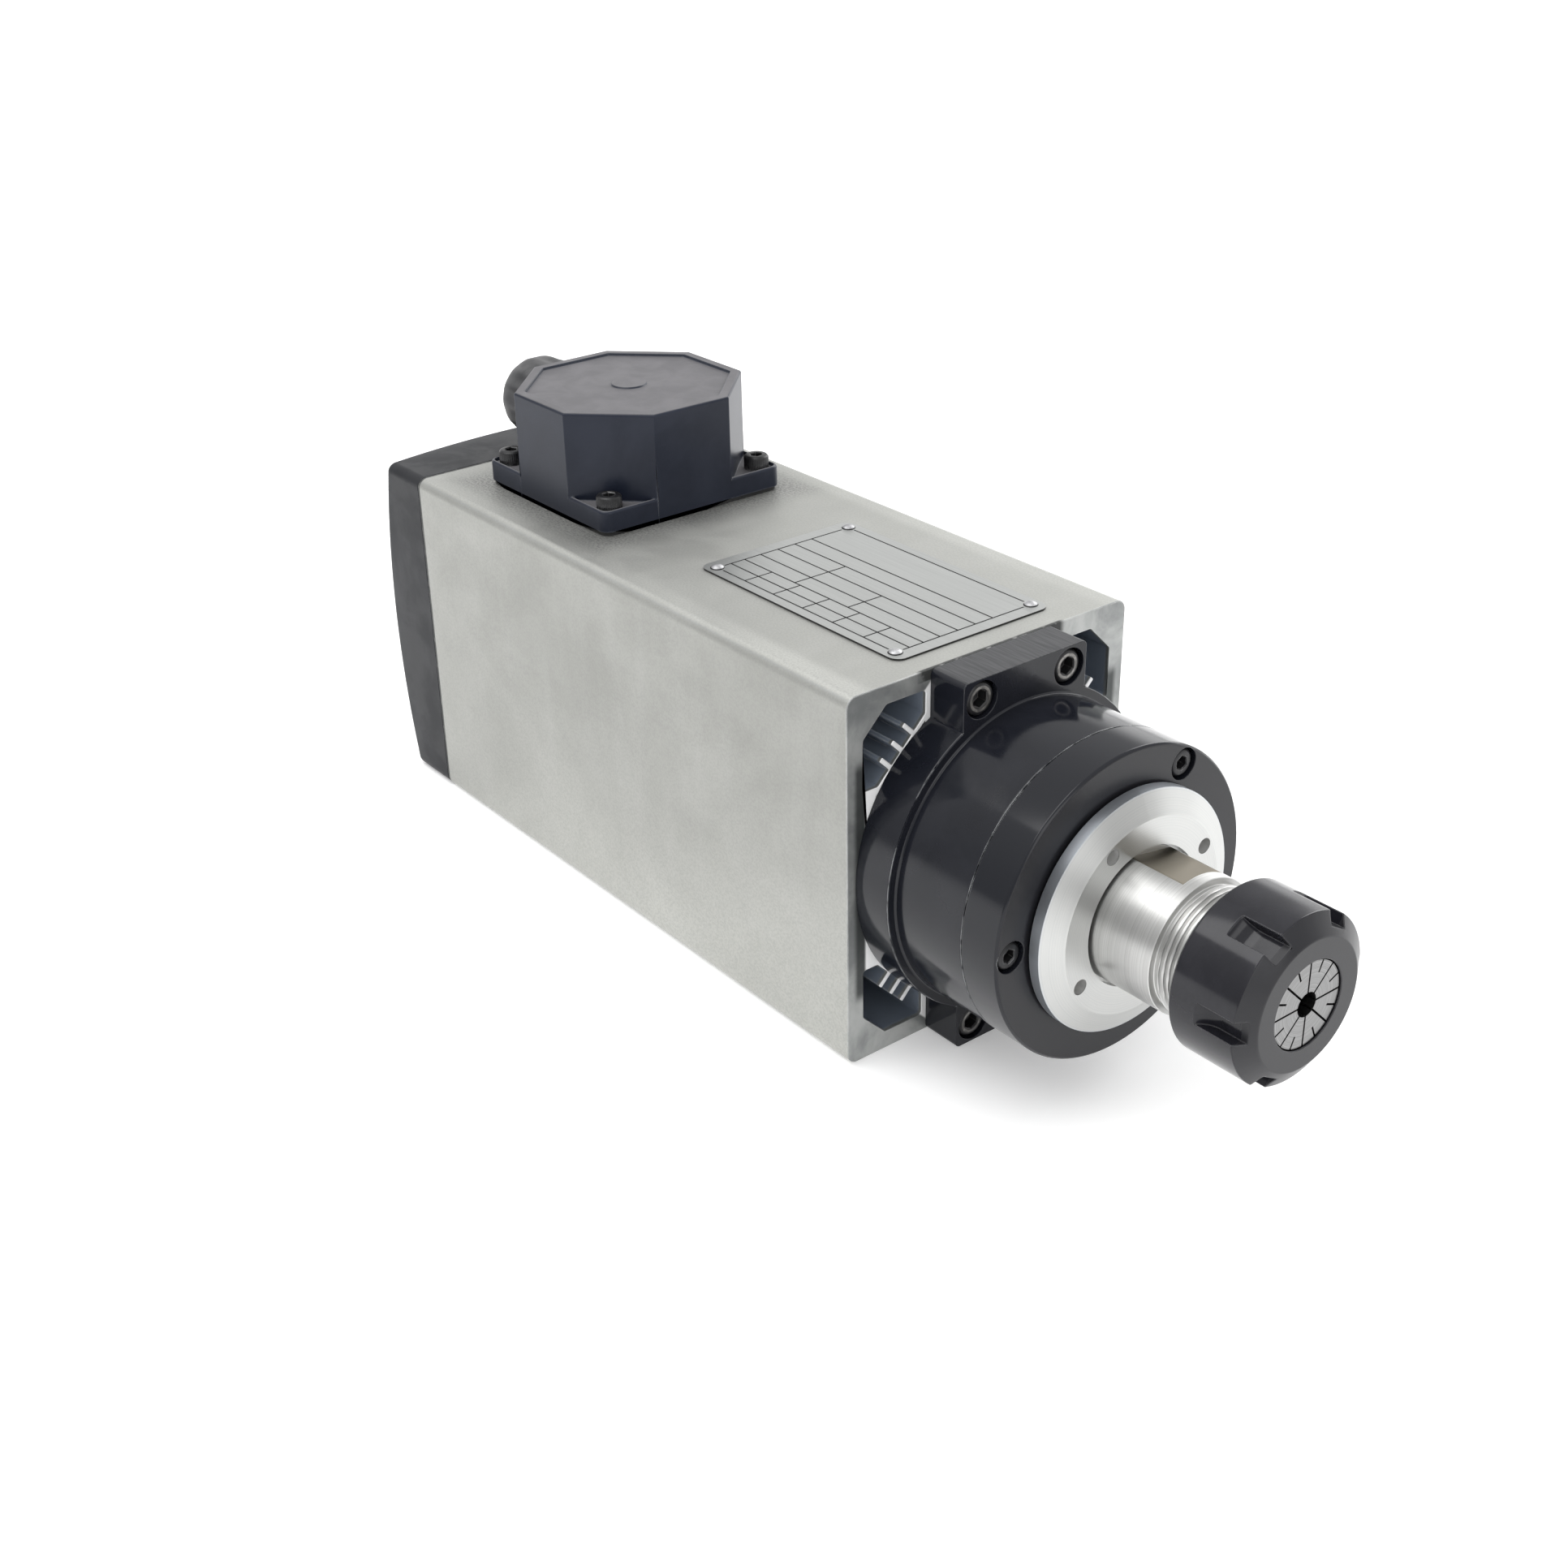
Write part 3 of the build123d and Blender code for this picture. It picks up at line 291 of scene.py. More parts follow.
def bumped(height, strength, distance):
    """The surface's normal tipped by a height from 0 to 1."""
    inputs = {"Height": height, "Strength": strength, "Distance": distance}
    return add(height.id_data, "Bump", inputs).outputs["Normal"]


# How much of an edge is painted paler, as wear and as painted highlight: where the rounded normal
# leaves the face's, broken up by noise.
edge_wear_and_sheen, edge_mark_in, edge_mark_out = group_of("edge_wear_and_sheen", {"Radius": 0.6 * mm, "Patch Scale": 260.0,
                                                      "Cover": 0.5}, "Mask")
rounded_normal = add(edge_wear_and_sheen, "Bevel", {"Radius": edge_mark_in["Radius"]}, samples=6).outputs["Normal"]
face_normal = add(edge_wear_and_sheen, "NewGeometry").outputs["Normal"]
turned_away = math_of("SUBTRACT", 1.0, vector_of("DOT_PRODUCT", rounded_normal, face_normal))
edge_patch = noise(object_place(edge_wear_and_sheen), edge_mark_in["Patch Scale"], 3.0)
patch_over = math_of("SUBTRACT", edge_patch, math_of("SUBTRACT", 0.75, edge_mark_in["Cover"]))
edge_wear_and_sheen.links.new(product(spread(turned_away, 0.03, 0.14), spread(patch_over, 0.0, 0.2)), edge_mark_out)

# Slow clouds, a few centimetres across, from 0 to 1.
clouding, cloud_in, cloud_out = group_of("clouding", {"Scale": 22.0, "Rough": 0.6}, "Value")
cloud_noise = noise(object_place(clouding), cloud_in["Scale"], 5.0,
                    Roughness=cloud_in["Rough"], Distortion=0.4)
clouding.links.new(spread(cloud_noise, 0.32, 0.68), cloud_out)

# A fine even grain that tips the surface's normal.
grain, grain_in, grain_out = group_of("grain", {"Scale": 2500.0, "Strength": 0.15, "Height": 0.05 * mm},
                                      "Normal", "NodeSocketVector")
grain_noise = noise(object_place(grain), grain_in["Scale"])
grain.links.new(bumped(grain_noise, grain_in["Strength"], grain_in["Height"]), grain_out)


def clouded(tree, scale, dark, light):
    """Colour that drifts between two shades, in clouds of one scale."""
    return mixed(use(tree, clouding, Scale=scale), dark, light)


def edge_worn_and_sheened(shade, edge_tone, **wear):
    """A shade with the piece's edges painted a paler colour, as rubbed metal and as painted highlight."""
    return mixed(use(shade.id_data, edge_wear_and_sheen, **wear), shade, edge_tone)


# Faces shaded smooth, for a carried-over solid whose edges are broken.
smooth_tree = bpy.data.node_groups.new("smooth_faces", "GeometryNodeTree")
smooth_tree.interface.new_socket("Geometry", in_out="INPUT", socket_type="NodeSocketGeometry")
smooth_tree.interface.new_socket("Geometry", in_out="OUTPUT", socket_type="NodeSocketGeometry")
smooth_start = smooth_tree.nodes.new("NodeGroupInput")
smooth_end = smooth_tree.nodes.new("NodeGroupOutput")
smooth_set = smooth_tree.nodes.new("GeometryNodeSetShadeSmooth")
smooth_tree.links.new(smooth_start.outputs[0], smooth_set.inputs[0])
smooth_tree.links.new(smooth_set.outputs[0], smooth_end.inputs[0])


def break_edges(name, width):
    """Weld, dissolve flat facets, bevel the sharp edges and weight the normals of one CAD node."""
    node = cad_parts[name]
    node.modifiers.new("weld", "WELD").merge_threshold = 0.01 * mm
    flat = node.modifiers.new("flat", "DECIMATE")
    flat.decimate_type = "DISSOLVE"
    flat.angle_limit = math.radians(0.5)
    edges = node.modifiers.new("edges", "BEVEL")
    edges.width = width
    edges.segments = 2
    edges.limit_method = "ANGLE"
    edges.angle_limit = math.radians(30.0)
    edges.use_clamp_overlap = False
    edges.miter_outer = "MITER_ARC"
    node.modifiers.new("smooth", "NODES").node_group = smooth_tree
    node.modifiers.new("normals", "WEIGHTED_NORMAL").keep_sharp = True


def dress(material, *names):
    """Give CAD nodes their material."""
    for name in names:
        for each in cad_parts[name].material_slots:
            each.material = material


satin, satin_tree, satin_shader = finish("satin_skin", (0.5, 0.5, 0.48), 0.58, 0.9)
satin_place = object_place(satin_tree)
level = axis_of(satin_tree, "Z")
sideways = math_of("ABSOLUTE", axis_of(satin_tree, "Y"))
endways = math_of("ABSOLUTE", axis_of(satin_tree, "X"))
from_axis = math_of("ABSOLUTE", math_of("SUBTRACT", level, axis_height))
# long streaks along the profile from drawing, upright wipes on the sides
draw_lines = noise(stretched(satin_tree, (6.0, 90.0, 60.0)), 3.0, 4.0)
wipes = noise(stretched(satin_tree, (60.0, 14.0, 9.0)), 2.0, 5.0)
satin_shade = clouded(satin_tree, 16.0, (0.385, 0.388, 0.366), (0.460, 0.463, 0.440))
satin_shade = mixed(spread(wipes, 0.42, 0.72, 0.0, 0.22), satin_shade, (0.50, 0.50, 0.485))
satin_shade = mixed(spread(draw_lines, 0.5, 0.75, 0.0, 0.16), satin_shade, (0.36, 0.36, 0.345))
# skin paler in a band along the top's long edges; towards the foot of the sides a painted reflection of
# the bright floor, and a painted highlight over the whole top
edge_band = product(spread(sideways, body_half_w - 9 * mm, body_half_w - 5 * mm, 0.0, 0.75),
                    spread(level, body_top - 1 * mm, body_top))
pale_edges_and_painted_floor_light = math_of("MAXIMUM", edge_band, spread(level, 0.0, 60 * mm, 0.75, 0.0))
slow_cloud = use(satin_tree, clouding, Scale=9.0, Rough=0.5)
satin_shade = mixed(product(pale_edges_and_painted_floor_light, spread(slow_cloud, 0.0, 1.0, 0.4, 1.0)), satin_shade,
                    (0.57, 0.575, 0.545))
# painted highlight: the whole top a little paler
top_painted_light = spread(level, body_top - 0.5 * mm, body_top - 0.1 * mm, 0.0, 0.25)
satin_shade = mixed(top_painted_light, satin_shade, (0.58, 0.585, 0.56))
# speckle of the blasting, and a painted shadow, speckled, round the foot of the terminal box
speckle = noise(satin_place, 1900.0, 3.0)
satin_shade = mixed(spread(speckle, 0.35, 0.7, 0.0, 0.30), satin_shade, (0.30, 0.30, 0.29))
from_box = vector_of("ABSOLUTE", vector_of("SUBTRACT", satin_place, (box_middle * mm, 0.0, body_top)))
box_x, box_y, box_z = [axis_of(satin_tree, label, from_box) for label in "XYZ"]
near_box = product(spread(math_of("MAXIMUM", box_x, box_y), box_reach, box_reach + 14 * mm, 1.0, 0.0),
                   spread(box_z, 0.0, 2 * mm, 1.0, 0.0))
painted_box_shadow = product(near_box, spread(noise(satin_place, 1500.0, 3.0), 0.36, 0.66, 0.12, 0.70))
satin_shade = mixed(painted_box_shadow, satin_shade, (0.15, 0.15, 0.15))
# the two end faces, in darker grey clouds
end_mask = spread(endways, body_front - 0.4 * mm, body_front - 0.1 * mm)
end_shade = clouded(satin_tree, 60.0, (0.26, 0.27, 0.27), (0.50, 0.51, 0.50))
satin_shade = mixed(end_mask, satin_shade, end_shade)
# a dark broken line where each ear stands against the end, and along the joint under the rear
# cover's lip
joint_patch = noise(satin_place, 330.0)
ear_line = product(spread(sideways, 22 * mm, 24 * mm, 1.0, 0.0),
                   spread(endways, body_front - 1.1 * mm, body_front - 0.6 * mm))
ear_level = spread(level, body_top - 3 * mm, body_top - 2.5 * mm)
ear_dark_line = product(ear_line, product(ear_level, spread(joint_patch, 0.34, 0.48, 0.70, 1.0)))
rear_joint = spread(axis_of(satin_tree, "X"), 0.8 * mm - body_front, 1.4 * mm - body_front, 1.0, 0.0)
dark_joint_lines = math_of("MAXIMUM", ear_dark_line, product(rear_joint, spread(joint_patch, 0.34, 0.48, 0.85, 1.0)))
# the front flange's shade on the end beside it
fin_sides = (39 * mm, 40 * mm)
flange_shade = product(spread(sideways, 41.6 * mm, 43.4 * mm, 0.85, 0.0), end_mask,
                       spread(from_axis, 30 * mm, 34 * mm, 1.0, 0.0), spread(sideways, *fin_sides))
# inside the profile the skin is painted darker and bluish: painted shade in the channels
inside = product(spread(sideways, body_half_w - 1.5 * mm, body_half_w - 0.5 * mm, 1.0, 0.0),
                 spread(from_axis, axis_height - 1.5 * mm, axis_height - 0.5 * mm, 1.0, 0.0),
                 spread(endways, body_front - 1.5 * mm, body_front - 0.5 * mm, 1.0, 0.0))
satin_shade = mixed(inside, satin_shade, (0.215, 0.250, 0.305))
# the sawn ends of the fins and webs, bright metal, are painted near-white: a painted highlight where the
# flange shades them
fin_ends = product(spread(math_of("ADD", sideways, from_axis), 66 * mm, 67 * mm, 1.0, 0.0),
                   spread(sideways, *fin_sides, 1.0, 0.0), end_mask)
satin_shade = mixed(fin_ends, satin_shade, (0.93, 0.93, 0.93))
# the edges painted paler, as rubbed metal and as painted highlight
satin_shade = edge_worn_and_sheened(satin_shade, (0.70, 0.70, 0.69), Radius=0.8 * mm, Patch_Scale=190.0, Cover=0.42)
satin_shade = mixed(flange_shade, satin_shade, (0.05, 0.055, 0.055))
satin_shade = mixed(dark_joint_lines, satin_shade, (0.035, 0.037, 0.036))
less_metallic = math_of("MAXIMUM", math_of("MAXIMUM", inside, fin_ends), dark_joint_lines)
feed(satin_shader, Base_Color=satin_shade, Metallic=spread(less_metallic, 0.0, 1.0, 0.9, 0.15),
     Roughness=spread(use(satin_tree, clouding, Scale=30.0), 0.0, 1.0, *satin_roughness),
     Normal=use(satin_tree, grain, Scale=2600.0, Strength=0.22))
dress(satin, "body_extrusion")
break_edges("body_extrusion", 0.25 * mm)

# ------------------------------------------------------------------ front bearing housing
# Turned aluminium, hard anodised black and glossy, its edges painted in thin bright lines as wear and
# highlight.
# The tops of the two square ears are milled, with cutter lines across them, and four screws through
# the ears hold the housing to the body.
black_gloss, black_tree, black_shader = finish("black_anodised", (0.008, 0.008, 0.010), 0.14,
                                               Specular_IOR_Level=0.34)
ear_reach = math_of("ABSOLUTE", math_of("SUBTRACT", axis_of(black_tree, "Z"), axis_height))
ear_top = spread(ear_reach, axis_height - 0.3 * mm, axis_height - 0.05 * mm)
cutter = noise(stretched(black_tree, (90.0, 1800.0, 90.0)), 1.0)
ear_shade = mixed(spread(cutter, 0.35, 0.65), (0.026, 0.027, 0.030), (0.056, 0.057, 0.061))
black_shade = clouded(black_tree, 50.0, (0.008, 0.009, 0.013), (0.013, 0.014, 0.019))
black_shade = mixed(ear_top, black_shade, ear_shade)
# edges painted in thin bright lines, as wear and as painted highlight
black_shade = edge_worn_and_sheened(black_shade, (0.38, 0.39, 0.40), Radius=0.3 * mm, Patch_Scale=190.0, Cover=0.38)
gloss_cloud = spread(use(black_tree, clouding, Scale=70.0), 0.0, 1.0, 0.10, 0.17)
feed(black_shader, Base_Color=black_shade,
     Roughness=math_of("MAXIMUM", product(ear_top, 0.34), gloss_cloud),
     Normal=use(black_tree, grain, Scale=1500.0, Strength=0.05))
dress(black_gloss, "front_bearing_housing")
break_edges("front_bearing_housing", 0.2 * mm)

# ------------------------------------------------------------------ front cap
# The same black on a turned ring whose flat front face is a duller dark grey, with fine turning rings.
# Three screws hold it to the housing.
cap_front = 143.0 * mm


def line_noise(along, scale, detail):
    """Noise from 0 to 1 that changes along one value only."""
    inputs = {"W": along, "Scale": scale, "Detail": detail}
    return add(along.id_data, "TexNoise", inputs, noise_dimensions="1D").outputs["Fac"]


# Fine rings round the shaft, for faces and for barrels alike, from 0 to 1.
rings, ring_in, ring_out = group_of("turning_rings", {"Scale": 1800.0, "Detail": 3.0}, "Value")
ring_y = axis_of(rings, "Y")
ring_z = math_of("SUBTRACT", axis_of(rings, "Z"), axis_height)
ring_r = math_of("SQRT", math_of("ADD", product(ring_y, ring_y), product(ring_z, ring_z)))
ring_path = math_of("MULTIPLY_ADD", axis_of(rings, "X"), 0.7, ring_r)
rings.links.new(line_noise(ring_path, ring_in["Scale"], ring_in["Detail"]), ring_out)

cap_black, cap_tree, cap_shader = finish("cap_black", (0.008, 0.008, 0.010), 0.16, Specular_IOR_Level=0.34)
cap_face = spread(axis_of(cap_tree, "X"), cap_front - 0.25 * mm, cap_front - 0.02 * mm)
cap_shade = mixed(cap_face, (0.010, 0.011, 0.015), (0.014, 0.014, 0.017))
# edges painted in thin bright lines, as wear and as painted highlight
cap_shade = edge_worn_and_sheened(cap_shade, (0.36, 0.37, 0.38), Radius=0.3 * mm, Patch_Scale=190.0, Cover=0.36)
feed(cap_shader, Base_Color=cap_shade, Roughness=spread(cap_face, 0.0, 1.0, 0.12, 0.33),
     Normal=bumped(use(cap_tree, rings, Scale=2500.0), 0.05, 0.02 * mm))
dress(cap_black, "front_cap")
break_edges("front_cap", 0.2 * mm)

# ------------------------------------------------------------------ dust cap
# Bright turned aluminium disc that turns with the shaft, with four pin holes for its spanner.  The
# tool left rings that fan the light round the cone and the face, the rim is a little darker, and the
# drilled holes are rough inside and painted pale, as light on their walls.


def from_shaft(tree):
    """The way from the shaft's axis to the point being shaded, with the part's X kept in it."""
    return vector_of("SUBTRACT", object_place(tree), (0.0, 0.0, axis_height))


def off_shaft(tree):
    """Distance of the point being shaded from the shaft's axis."""
    return vector_of("LENGTH", vector_of("MULTIPLY", from_shaft(tree), (0.0, 1.0, 1.0)))


def turned_metal(name, dark, light, roughness, ring_scale, ring_share=0.35, sweep=0.3):
    """Turned metal: fine rings in colour and normal, and a sheen drawn round the shaft's axis."""
    material, tree, shader = finish(name, light, roughness, 1.0, Anisotropic=sweep, Anisotropic_Rotation=0.25)
    around = vector_of("NORMALIZE", vector_of("CROSS_PRODUCT", (1.0, 0.0, 0.0), from_shaft(tree)))
    lines = spread(use(tree, rings, Scale=ring_scale), 0.5 - ring_share, 0.5 + ring_share)
    shade = mixed(lines, dark, light)
    feed(shader, Tangent=around, Base_Color=shade, Normal=bumped(lines, 0.03, 0.01 * mm))
    return material, tree, shader, shade


dust_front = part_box("dust_cap")[1][0]
rim_from, rim_r = 147.0 * mm, 30.5 * mm
bright_cap, bright_tree, bright_shader, bright_shade = turned_metal(
    "bright_turned", (0.50, 0.51, 0.505), (0.585, 0.585, 0.57), roughness=0.33, ring_scale=5200.0, sweep=0.75)
bright_x = axis_of(bright_tree, "X")
bright_r = off_shaft(bright_tree)
rim_mask = product(spread(bright_x, rim_from - 0.3 * mm, rim_from, 1.0, 0.0),
                   spread(bright_r, rim_r - 0.3 * mm, rim_r))
bright_shade = mixed(rim_mask, bright_shade, (0.50, 0.53, 0.57))
pin_ring = product(spread(bright_r, 20.2 * mm, 20.5 * mm), spread(bright_r, 24.65 * mm, 24.8 * mm, 1.0, 0.0))
in_pin_hole = product(spread(bright_x, dust_front - 0.35 * mm, dust_front - 0.2 * mm, 1.0, 0.0), pin_ring)
# painted light: the insides of the pin holes pale and less metallic
bright_shade = mixed(in_pin_hole, bright_shade, (0.50, 0.50, 0.49))
feed(bright_shader, Base_Color=bright_shade, Metallic=spread(in_pin_hole, 0.0, 1.0, 1.0, 0.2))
dress(bright_cap, "dust_cap")

# ------------------------------------------------------------------ spindle shaft
# One ground steel shaft with two spanner flats, an undercut and a cut thread for the nut, and the
# taper for the collet bored into its end.  The flats show the darker skin of hardened steel.
collar_r = 17.0 * mm
flats_from, flats_to = 148.0 * mm, 164.0 * mm
flats_half = 15.5 * mm
flats_turn = math.radians(80.0)
thread_from, thread_to = 168.5 * mm, 189.0 * mm
thread_pitch = 1.5 * mm
thread_depth = 0.75 * mm
thread_r = 16.0 * mm
thread_bevel = 188.2 * mm    # where the thread's own rows end, just short of the end bevel
thread_rows = 220            # how many rows draw it
shaft_around = 192           # places in every row of the shaft
edge_break = 0.15 * mm


def profile_rows(stops, longest):
    """Rows (x, r) along straight runs, none longer than asked; each stop is kept as it is."""
    rows = [stops[0]]
    for (x_a, r_a), (x_b, r_b) in zip(stops, stops[1:]):
        count = max(1, math.ceil(math.hypot(x_b - x_a, r_b - r_a) / longest))
        rows += [(x_a + (x_b - x_a) * i / count, r_a + (r_b - r_a) * i / count) for i in range(1, count + 1)]
    return np.array(rows)


def broken(stops, width):
    """The same profile in millimetres with a small flat cut across each corner, in metres."""
    points = [np.array(each, float) for each in stops]
    cut = [points[0]]
    for before, here, after in zip(points, points[1:], points[2:]):
        for other in (before, after):
            way = other - here
            cut.append(here + way * min(0.3, width / max(np.linalg.norm(way), 1e-9)))
    cut.append(points[-1])
    return [tuple(each * mm) for each in cut]


def spun(rows, around, axis_z, reach):
    """Grid of places: each row's r, changed by reach, goes round an axis along X.  At angle t, y is
    r times the cosine of t, and z is the axis's height plus r times the sine of t."""
    turn = np.linspace(0.0, 2.0 * math.pi, around, endpoint=False)
    xs = np.repeat(rows[:, :1], around, axis=1)
    angles = np.repeat(turn[None, :], len(rows), axis=0)
    radii = reach(xs, np.repeat(rows[:, 1:2], around, axis=1), angles)
    return np.stack([xs, radii * np.cos(angles), axis_z + radii * np.sin(angles)], axis=-1)


def shaft_reach(xs, radii, angles):
    """Radius with the flats, the lesser of r and half the flats over the cosine of the angle to
    them, and with the thread, a triangle wave of x over the pitch less the turn's share."""
    flat_r = flats_half / np.maximum(np.abs(np.cos(angles - flats_turn)), 0.5)
    on_flats = (xs > flats_from) & (xs < flats_to) & (radii > collar_r - 0.1 * mm)
    radii = np.where(on_flats, np.minimum(radii, flat_r), radii)
    phase = (xs / thread_pitch - angles / (2.0 * math.pi)) % 1.0
    groove = np.clip(1.6 * (1.0 - np.abs(2.0 * phase - 1.0)) - 0.3, 0.0, 1.0)
    run_in = np.clip((thread_to - xs) / (0.8 * thread_pitch), 0.0, 1.0)
    on_thread = (xs > thread_from) & (radii > thread_r - 0.8 * mm)
    return np.where(on_thread, radii - thread_depth * groove * run_in, radii)


# (x, r) from the tail over the bearing seats, collar, undercut and thread, and back down the taper
shaft_stops = broken([
    (-118.5, 0.0), (-118.5, 7.4), (-117.9, 8.0), (-96.5, 8.0), (-96.5, 10.0), (-84.5, 10.0), (-84.5, 12.5),
    (85.5, 12.5), (85.5, 14.0), (93.5, 14.0), (93.5, 15.0), (128.5, 15.0), (128.5, 17.0), (167.0, 17.0),
    (167.0, 15.2), (168.5, 15.2), (168.5, 16.0), (188.4, 16.0), (189.0, 15.4), (189.0, 13.0),
    (162.0, 9.2054), (162.0, 9.0), (150.0, 9.0), (146.0, 0.0)], edge_break / mm)
plain_rows = profile_rows(shaft_stops, 60.0 * mm)
thread_start = int(np.argmax((plain_rows[:, 0] > thread_from - 0.1 * mm)
                             & (plain_rows[:, 1] > thread_r - 0.2 * mm)))
thread_end = int(np.argmax(plain_rows[:, 0] > thread_bevel))
flat_rows = np.array([(flats_from, collar_r), (flats_from + 0.01 * mm, collar_r),
                      (flats_to - 0.01 * mm, collar_r), (flats_to, collar_r)])
flat_at = int(np.argmax(plain_rows[:, 0] > flats_to))
cut_rows = np.stack([np.linspace(thread_from + 0.2 * mm, thread_bevel, thread_rows),
                     np.full(thread_rows, thread_r)], axis=-1)
shaft_rows = np.vstack([plain_rows[:flat_at], flat_rows, plain_rows[flat_at:thread_start + 1], cut_rows,
                        plain_rows[thread_end:]])
ground, ground_tree, ground_shader, ground_shade = turned_metal(
    "ground_steel", (0.51, 0.51, 0.50), (0.65, 0.65, 0.64), roughness=0.34, ring_scale=5000.0)
ground_x = axis_of(ground_tree, "X")
above_axis = math_of("SUBTRACT", axis_of(ground_tree, "Z"), axis_height)
across_flats = math_of("ADD", product(axis_of(ground_tree, "Y"), math.cos(flats_turn)),
                       product(above_axis, math.sin(flats_turn)))
flat_mask = product(
    spread(math_of("ABSOLUTE", across_flats), flats_half - 0.08 * mm, flats_half - 0.03 * mm),
    product(spread(ground_x, flats_from, flats_from + 0.05 * mm),
            spread(ground_x, flats_to - 0.05 * mm, flats_to, 1.0, 0.0)))
wide_rings = spread(use(ground_tree, rings, Scale=800.0, Detail=1.0), 0.42, 0.62, 0.0, 0.12)
ground_shade = mixed(wide_rings, ground_shade, (0.30, 0.30, 0.29))
ground_shade = mixed(flat_mask, ground_shade, (0.18, 0.16, 0.125))
feed(ground_shader, Base_Color=ground_shade)
shaft_grid = spun(shaft_rows, shaft_around, axis_height, shaft_reach)
shaft = place("shaft_ground", mesh_from_grid("shaft_ground", shaft_grid, closed=True), ground)
shaft.modifiers.new("edges", "EDGE_SPLIT").split_angle = math.radians(35.0)
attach(shaft, "spindle")
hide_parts("spindle_shaft")

# ------------------------------------------------------------------ collet nut
# Turned and milled steel, blackened, and screwed on the shaft's thread.  The six spanner slots and
# the bevel are painted a paler line, as wear and as highlight, and the front face is duller than the barrel.
black_steel, nut_tree, nut_shader = finish("black_oxide", (0.010, 0.010, 0.012), 0.3, Specular_IOR_Level=0.36)
nut_face_from, nut_bevel_from = 197.0 * mm, 194.1 * mm
nut_front = spread(axis_of(nut_tree, "X"), nut_face_from, nut_face_from + 0.25 * mm)
nut_bevel = spread(axis_of(nut_tree, "X"), nut_bevel_from, nut_bevel_from + 0.3 * mm)
nut_shade = clouded(nut_tree, 130.0, (0.012, 0.012, 0.016), (0.018, 0.018, 0.023))
nut_shade = mixed(product(nut_bevel, 0.8), nut_shade, (0.018, 0.018, 0.021))
nut_shade = mixed(nut_front, nut_shade, (0.022, 0.022, 0.025))
# edges painted paler, as wear and as painted highlight
nut_shade = edge_worn_and_sheened(nut_shade, (0.36, 0.36, 0.37), Radius=0.4 * mm, Patch_Scale=420.0, Cover=0.50)
feed(nut_shader, Base_Color=nut_shade, Roughness=spread(nut_bevel, 0.0, 1.0, 0.13, 0.32),
     Normal=use(nut_tree, grain, Scale=1200.0, Strength=0.08))
dress(black_steel, "collet_nut")
break_edges("collet_nut", 0.25 * mm)

# ------------------------------------------------------------------ collet
# Spring steel, ground outside and on its face, and painted dark inside its bore as shade.  The nut's
# lip holds it in the shaft's taper.
collet_steel, collet_tree, collet_shader, collet_shade = turned_metal(
    "collet_steel", (0.19, 0.19, 0.19), (0.31, 0.31, 0.31), roughness=0.34, ring_scale=3000.0)
# painted shade: the bore's walls darker
bore_shade_mask = spread(off_shaft(collet_tree), 3.02 * mm, 3.15 * mm, 1.0, 0.0)
feed(collet_shader, Base_Color=mixed(bore_shade_mask, collet_shade, (0.10, 0.10, 0.10)))
dress(collet_steel, "collet")

# ------------------------------------------------------------------ socket screws
# Alloy steel cap screws.  Their heads are knurled and blackened; the four in the housing's ears have
# had their socket rims worn to bare metal by the key.
head_around = 144
knurl_count = 36
knurl_depth = 0.06 * mm
centre_r = 0.001 * mm        # how near to its axis a screw's surface is closed
ear_head_top = 108.35 * mm
# where the screws are, in millimetres: off the shaft's axis, or off the box's middle for the flange's
# four, and the place their heads rest at, along the part, or in height for the flange's
axis_z = axis_height / mm
ear_screw_y, ear_screw_z, ear_seat = 14.0, 44.5, 103.4
cap_circle_r, cap_seat = 35.5, 138.4
cover_screw_y, cover_screw_z, cover_seat = 40, 45, -105.5
flange_screw, flange_seat = 25, 106.0


def worn_screw(name, dark, worn, worn_at_rim, key_worn=None):
    """Black screw steel with its edges rubbed to metal; key_worn may change the mask for that."""
    material, tree, shader = finish(name, dark, 0.35, 0.4)
    shade = clouded(tree, 400.0, dark, tuple(2.2 * each for each in dark))
    mask = use(tree, edge_wear_and_sheen, Radius=0.5 * mm, Patch_Scale=600.0, Cover=worn_at_rim)
    if key_worn is not None:
        mask = key_worn(tree, mask)
    feed(shader, Base_Color=mixed(mask, shade, worn), Roughness=spread(mask, 0.0, 1.0, 0.38, 0.28),
         Normal=use(tree, grain, Scale=2000.0, Strength=0.1))
    return material


def key_ring(tree, mask):
    """Worn ring round each ear screw's socket: between two distances from the nearest of the four
    screws' axes, on the head's top.  The edges inside the socket keep half of the edge mask, a painted
    glint on its walls, and the other edges there keep a little of it."""
    here = vector_of("ABSOLUTE", from_shaft(tree))
    head_top = spread(axis_of(tree, "X", here), ear_head_top - 0.15 * mm, ear_head_top)
    here = vector_of("SUBTRACT", here, (0.0, ear_screw_y * mm, ear_screw_z * mm))
    off_axis = vector_of("LENGTH", vector_of("MULTIPLY", here, (0.0, 1.0, 1.0)))
    ring = product(spread(off_axis, 2.4 * mm, 2.65 * mm), spread(off_axis, 3.1 * mm, 3.35 * mm, 1.0, 0.0),
                   spread(use(tree, clouding, Scale=500.0), 0.2, 0.8, 0.45, 1.0), head_top)
    # painted glint: edges inside the socket keep half of the edge mask, the others a little
    in_socket = product(mask, spread(off_axis, 2.3 * mm, 2.5 * mm, 0.5, 0.12))
    return math_of("MAXIMUM", ring, in_socket)


